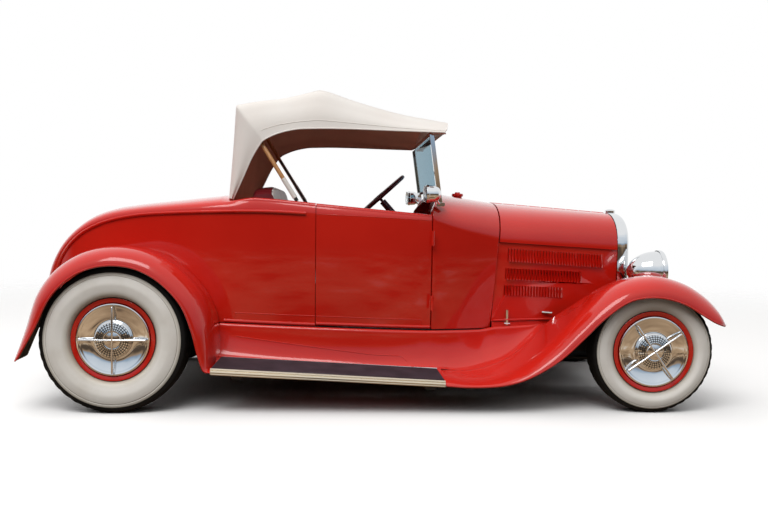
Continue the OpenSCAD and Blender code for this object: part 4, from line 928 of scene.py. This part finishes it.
# Mat rubber looks dark purple-brown, paler in worn patches about 80 mm wide.
mat_rubber, tree, spot = new_finish("mat_rubber")
wear = node(tree, "TexNoise", {"Vector": spot, "Scale": 12, "Detail": 5})
tint = node(tree, "ValToRGB", {"Fac": wear}, ((0.35, "#2a2028"), (0.75, "#3d3039")))
bsdf = node(tree, "BsdfPrincipled", {"Base Color": tint, "Roughness": 0.55})
node(tree, "OutputMaterial", {"Surface": bsdf})

# Brushed stainless trim, warmer and duller than the plating. Its streaks, 330 mm long and 2.5 mm wide, are
# coarser than real brush marks.
step_trim, tree, spot = new_finish("step_trim")
drawn = node(tree, "Mapping", {"Vector": spot, "Scale": (3, 400, 400)})
brush = node(tree, "TexNoise", {"Vector": drawn, "Scale": 1, "Detail": 3})
dull = node(tree, "MapRange", {"Value": brush, "To Min": 0.2, "To Max": 0.4})
bsdf = node(tree, "BsdfPrincipled", {"Base Color": linear("#d8cdb8"), "Metallic": 0.85, "Roughness": dull})
node(tree, "OutputMaterial", {"Surface": bsdf})

# The board's section as y and height over the board's line, once round.
board_line = [(600, -14), (604, 12), (612, 16), (640, 15), (820, -5), (832, -9), (838, -16), (838, -30),
              (834, -35), (826, -35), (822, -30), (820, -18), (640, 2), (616, 2), (612, -12), (606, -16)]
ribs, rib_depth = 70, 2


def board_section(u, t):
    step = t * len(board_line)
    i = int(step) % len(board_line)
    after = board_line[(i + 1) % len(board_line)]
    y, z = (mix(a, b, step - int(step)) for a, b in zip(board_line[i], after))
    x = mix(478, fender_start, u)
    return x, y, board_z(x) + z


def mat_skin(u, v):
    x = mix(mix(472, 492, v), mix(1588, 1570, v), u)
    z = board_z(mix(484, 1588, u)) + mix(-0.5, 20, v) - rib_depth * (round(v * ribs) % 2)
    return x, mix(824, 640, v), z


for side, hand in sides:
    board = ringed(board_section, 12, 16, hand)
    piece(board, f"pressed_board_{side}", red_enamel, stands_for="running_boards")
    mat = piece(sheet(mat_skin, 1, ribs, hand), f"ribbed_mat_{side}", mat_rubber, stands_for="step_mats")
    mat.modifiers.new("rubber", "SOLIDIFY").thickness = 0.003
    strip = [(x, hand * 637, board_z(x) + 17) for x in (500, 1572)]
    rod(f"inner_step_strip_{side}", chrome, strip, 4)
    for number, (y, drop, r) in enumerate(((832, 10, 6.5), (837, 21, 7), (836, 31, 5))):
        strip = [(x, hand * y, board_z(x) - drop) for x in (468, 1592)]
        rod(f"step_trim_{side}_{number}", step_trim, strip, r)

# Windshield: flat plate glass puttied into a plated frame that stands on the cowl's pads and carries a spot
# lamp on each post. The frame is the CAD solid with its edges rounded.

# Plate glass has a faint blue tint. Its index is near that of air, so it stays clear when seen edge-on.
plate_glass, tree, _ = new_finish("plate_glass")
bsdf = node(tree, "BsdfPrincipled", {"Base Color": linear("#6d8f9e"), "Roughness": 0.02, "IOR": 1.02,
                                     "Transmission Weight": 1.0})
node(tree, "OutputMaterial", {"Surface": bsdf})
dress(plate_glass, "windshield_glass")
windshield = piece(cad_copy("windshield_frame"), "plated_windshield_frame", chrome,
                   stands_for="windshield_frame")
bevel = windshield.modifiers.new("edge", "BEVEL")
bevel.width, bevel.segments, bevel.limit_method = 0.004, 3, "ANGLE"
lens = [(0, -2), (41, -2), (41, 3), (32, 6), (16, 8), (0, 8.5)]
for side, hand in sides:
    piece(mounted(lens, 40, -1, (1502, hand * 597, 1074)), f"spot_lens_{side}", lens_glass)

# Folding top: cream canvas drawn over the wooden bows, tacked to the header over the windshield and to the
# body behind the seat, lined with brown cloth, with a hem and a stitched seam along each side.

# Canvas looks pale and matt and lets some light through. Its 2 mm weave is coarser than real threads, and it
# is stained in patches about 250 mm wide.
canvas, tree, spot = new_finish("cream_canvas")
weft = node(tree, "TexWave", {"Vector": spot, "Scale": 160}, bands_direction="X")
warp = node(tree, "TexWave", {"Vector": spot, "Scale": 160}, bands_direction="Z")
weave = node(tree, "Math", {0: weft.outputs["Fac"], 1: warp.outputs["Fac"]}, operation="ADD")
thread = node(tree, "Bump", {"Height": weave, "Strength": 0.12, "Distance": 0.0006})
stain = node(tree, "TexNoise", {"Vector": spot, "Scale": 4, "Detail": 5})
cloth = node(tree, "ValToRGB", {"Fac": stain}, ((0.35, "#f4eee7"), (0.7, "#f8f4ee")))
bsdf = node(tree, "BsdfPrincipled", {"Base Color": cloth, "Roughness": 0.85, "Sheen Weight": 0.2,
                                     "Normal": thread})
glow = node(tree, "BsdfTranslucent", {"Color": cloth})
node(tree, "OutputMaterial", {"Surface": node(tree, "MixShader", {0: 0.18, 1: bsdf, 2: glow})})

# The lining looks warm brown against the light, faded in patches about 110 mm wide.
lining, tree, spot = new_finish("brown_lining")
fade = node(tree, "TexNoise", {"Vector": spot, "Scale": 9, "Detail": 5})
cloth = node(tree, "ValToRGB", {"Fac": fade}, ((0.3, "#966051"), (0.7, "#ae7263")))
bsdf = node(tree, "BsdfDiffuse", {"Color": cloth})
glow = node(tree, "BsdfTranslucent", {"Color": linear("#c98c76")})
node(tree, "OutputMaterial", {"Surface": node(tree, "MixShader", {0: 0.5, 1: bsdf, 2: glow})})

# Rows from the rear hem to the header: step, then x and height of side edge, shoulder and crown.
top_rows = [
    (0, 534, 1036, 520, 1040, 492, 1060), (1, 584, 1140, 534, 1180, 502, 1190),
    (2, 634, 1246, 548, 1340, 513, 1360), (2.85, 680, 1318, 558, 1472, 522, 1520),
    (3, 690, 1328, 561, 1490, 526, 1540), (3.15, 703, 1338, 577, 1496, 541, 1545),
    (4, 772, 1368, 670, 1514, 640, 1563), (5, 860, 1388, 800, 1530, 785, 1587),
    (5.7, 930, 1392, 920, 1556, 915, 1622), (6, 962, 1393, 965, 1563, 962, 1636),
    (6.3, 1010, 1394, 1015, 1554, 1015, 1626), (7, 1150, 1393, 1150, 1511, 1150, 1581),
    (8, 1380, 1388, 1380, 1450, 1380, 1520), (9, 1600, 1384, 1622, 1416, 1634, 1474)]
edge_half, shoulder_half, gather, bulge = 598, 530, 70, 14
stations = {}


def canvas_skin(u, v):
    if u not in stations:
        k = 9 * u
        _, ex, ez, sx, sz, cx, cz = through(top_rows, k)
        side_edge = np.array((ex, gather * max(0, 1 - k / 3) - edge_half, ez))
        shoulder = np.array((sx, -shoulder_half, sz))
        hoop = [mix(side_edge, shoulder, q) - (0, bulge * math.sin(math.pi * q), 0) for q in (0, 0.4, 0.75)]
        for turn in np.radians((15, 35, 60, 90)):
            rise = math.sin(turn)
            hoop.append(shoulder + ((cx - sx) * rise, shoulder_half * (1 - math.cos(turn)), (cz - sz) * rise))
        hoop += [at * (1, -1, 1) for at in hoop[-2::-1]]
        stations[u] = [(i, *at) for i, at in enumerate(hoop)]
    return through(stations[u], 12 * v)[1:]


def header(u, v):
    x, y, z = canvas_skin(0.97, v)
    return mix(x, 1606, u), y * 0.985, mix(z - 5, min(1384, z - 6), u)


bm = sheet(canvas_skin, 120, 96)
cloth_area = sum(face.calc_area() for face in bm.faces)
top = piece(bm, "canvas_top", canvas, lining, stands_for="top_canvas")
thicken(top, 0.004, 0.001, inner_material=1)
board = piece(sheet(header, 6, 64), "header_board", canvas)
board.modifiers.new("board", "SOLIDIFY").thickness = 0.006
for side, v in (("left", 1), ("right", 0)):
    hem = [canvas_skin(u, v) for u in np.linspace(0, 1, 91)]
    rod(f"canvas_hem_{side}", canvas, hem, 3.5)
    seam = [canvas_skin(u, abs(v - 0.05)) for u in np.linspace(0.36, 1, 61)]
    rod(f"canvas_seam_{side}", canvas, seam, 1.8)

# Bows: bent ash, varnished, with the lower part of each leg wrapped in cream cloth, a dark strap along its
# inner side that is painted shade, and a forged foot on the body. They are rods swept along the legs, joined
# by a crosspiece.

# Ash looks warm and half-glossy. Its grain, drawn 17 mm wide and 170 mm long, is coarser than real.
ash, tree, spot = new_finish("bow_ash")
drawn = node(tree, "Mapping", {"Vector": spot, "Scale": (60, 60, 6)})
grain = node(tree, "TexNoise", {"Vector": drawn, "Scale": 1, "Detail": 4})
tint = node(tree, "ValToRGB", {"Fac": grain}, ((0.3, "#b07a48"), (0.7, "#cf9a66")))
bsdf = node(tree, "BsdfPrincipled", {"Base Color": tint, "Roughness": 0.35})
node(tree, "OutputMaterial", {"Surface": bsdf})

bow_r = 11
for side, hand in sides:
    foot, elbow = np.array((860, hand * 575, 1030)), np.array((690, hand * 568, 1300))
    crown = np.array((600, hand * 500, 1450))
    knee = mix(foot, elbow, 0.42)
    leg = [knee, elbow, mix(elbow, crown, 0.5), crown]
    rod(f"bow_leg_{side}", ash, leg, bow_r, stands_for="top_bows")
    wrap = [mix(foot, elbow, 0.06), mix(foot, elbow, 0.2), knee]
    rod(f"bow_wrap_{side}", canvas, wrap, 12.5)
    rod(f"bow_foot_{side}", chassis_enamel, [foot, mix(foot, elbow, 0.08)], 10)
    # The dark strap is painted shade: it darkens the inner side of each leg, which faces away from the light.
    shade_strap = [at - np.array((0, hand * 9, 0)) for at in (foot, knee, elbow)]
    rod(f"bow_strap_{side}", chassis_enamel, shade_strap, 6)
rod("bow_crosspiece", ash, [(600, -500, 1450), (600, 500, 1450)], bow_r)

# Seat: a sprung cushion and squab in maroon leather, stuffed and pleated, with the front faces in off-white
# leather. Each is one closed cover round its stuffing, and they rest on the floor and against the shelf.

# Both leathers show pores 4 mm apart, coarser than real ones, and wear in patches about 125 mm wide.
leathers = []
for name, slot, worn, full, dull in (("maroon_leather", "leather", "#5e1119", "#771821", 0.38),
                                     ("pale_leather", None, "#ebe8e3", "#f6f4f2", 0.45)):
    leather, tree, spot = new_finish(name)
    pores = node(tree, "TexVoronoi", {"Vector": spot, "Scale": 260})
    grain = node(tree, "Bump", {"Height": pores, "Strength": 0.2, "Distance": 0.0008})
    wear = node(tree, "TexNoise", {"Vector": spot, "Scale": 8, "Detail": 4})
    tint = node(tree, "ValToRGB", {"Fac": wear}, ((0.3, worn), (0.7, full)))
    bsdf = node(tree, "BsdfPrincipled", {"Base Color": tint, "Roughness": dull, "Normal": grain})
    node(tree, "OutputMaterial", {"Surface": bsdf})
    leathers.append(leather)

pleats, pleat_depth, seat_half, end_pull = 9, 9, 503, 0.16


def stuffed(corners):
    (x0, z0), (x1, z1), (x2, z2), (x3, z3) = corners

    def section(u, t):
        end = abs(2 * u - 1)
        pull = 1 - end_pull * end ** 10
        across, climb = (math.copysign(abs(c) ** 0.36, c) * pull
                         for c in (math.cos(math.tau * t), math.sin(math.tau * t)))
        pleat = pleat_depth * (1 - abs(math.sin(pleats * math.pi * u)) ** 0.5) * (end < 0.97)
        a, b = (across + 1) / 2, (climb + 1) / 2
        x, z = mix(mix(x0, x1, a), mix(x3, x2, a), b), mix(mix(z0, z1, a), mix(z3, z2, a), b)
        y = mix(-seat_half, seat_half, u)
        return x - pleat * max(across, 0) ** 3, y, z - pleat * max(climb, 0) ** 3
    return section


for name, corners in (("seat_cushion", ((641, 409), (1089, 394), (1089, 632), (641, 617))),
                      ("seat_back", ((643, 620), (799, 625), (748, 1112), (612, 1096)))):
    bm = ringed(stuffed(corners), 180, 72)
    for face in bm.faces:
        face.material_index = int(face.normal.x > 0.5)
    pad = piece(bm, name + "_cover", *leathers, sharp=50, stands_for=name)

# Steering wheel and column: a moulded rim, spokes and hub keyed to a column in the same maroon. The CAD
# solids have their shape.

# The plastic is glossy, with swirls about 40 mm wide.
rim_plastic, tree, spot = new_finish("rim_plastic")
swirl = node(tree, "TexNoise", {"Vector": spot, "Scale": 25, "Detail": 4})
tint = node(tree, "ValToRGB", {"Fac": swirl}, ((0.3, "#6e1822"), (0.7, "#8a202c")))
bsdf = node(tree, "BsdfPrincipled", {"Base Color": tint, "Roughness": 0.25})
node(tree, "OutputMaterial", {"Surface": bsdf})
dress(rim_plastic, "steering_wheel", "steering_column")

# Tail lamps: plated bodies on brackets behind the rear fenders, which are CAD solids, each closed by a domed
# lens turned from one profile.

# The lens looks deep red, with pressed prisms about 8 mm wide.
red_lens, tree, spot = new_finish("red_lens")
prism = node(tree, "TexVoronoi", {"Vector": spot, "Scale": 130})
facet = node(tree, "Bump", {"Height": prism, "Strength": 0.5, "Distance": 0.001})
bsdf = node(tree, "BsdfPrincipled", {"Base Color": linear("#a80d12"), "Roughness": 0.12, "Coat Weight": 0.5,
                                     "Normal": facet})
node(tree, "OutputMaterial", {"Surface": bsdf})
dress(chrome, "tail_lamps")
lens = [(0, -2), (31, -2), (31, 3), (25, 8), (14, 11), (0, 12)]
for side, hand in sides:
    piece(mounted(lens, 40, -1, (-462, hand * 410, 470)), f"tail_lens_{side}", red_lens)
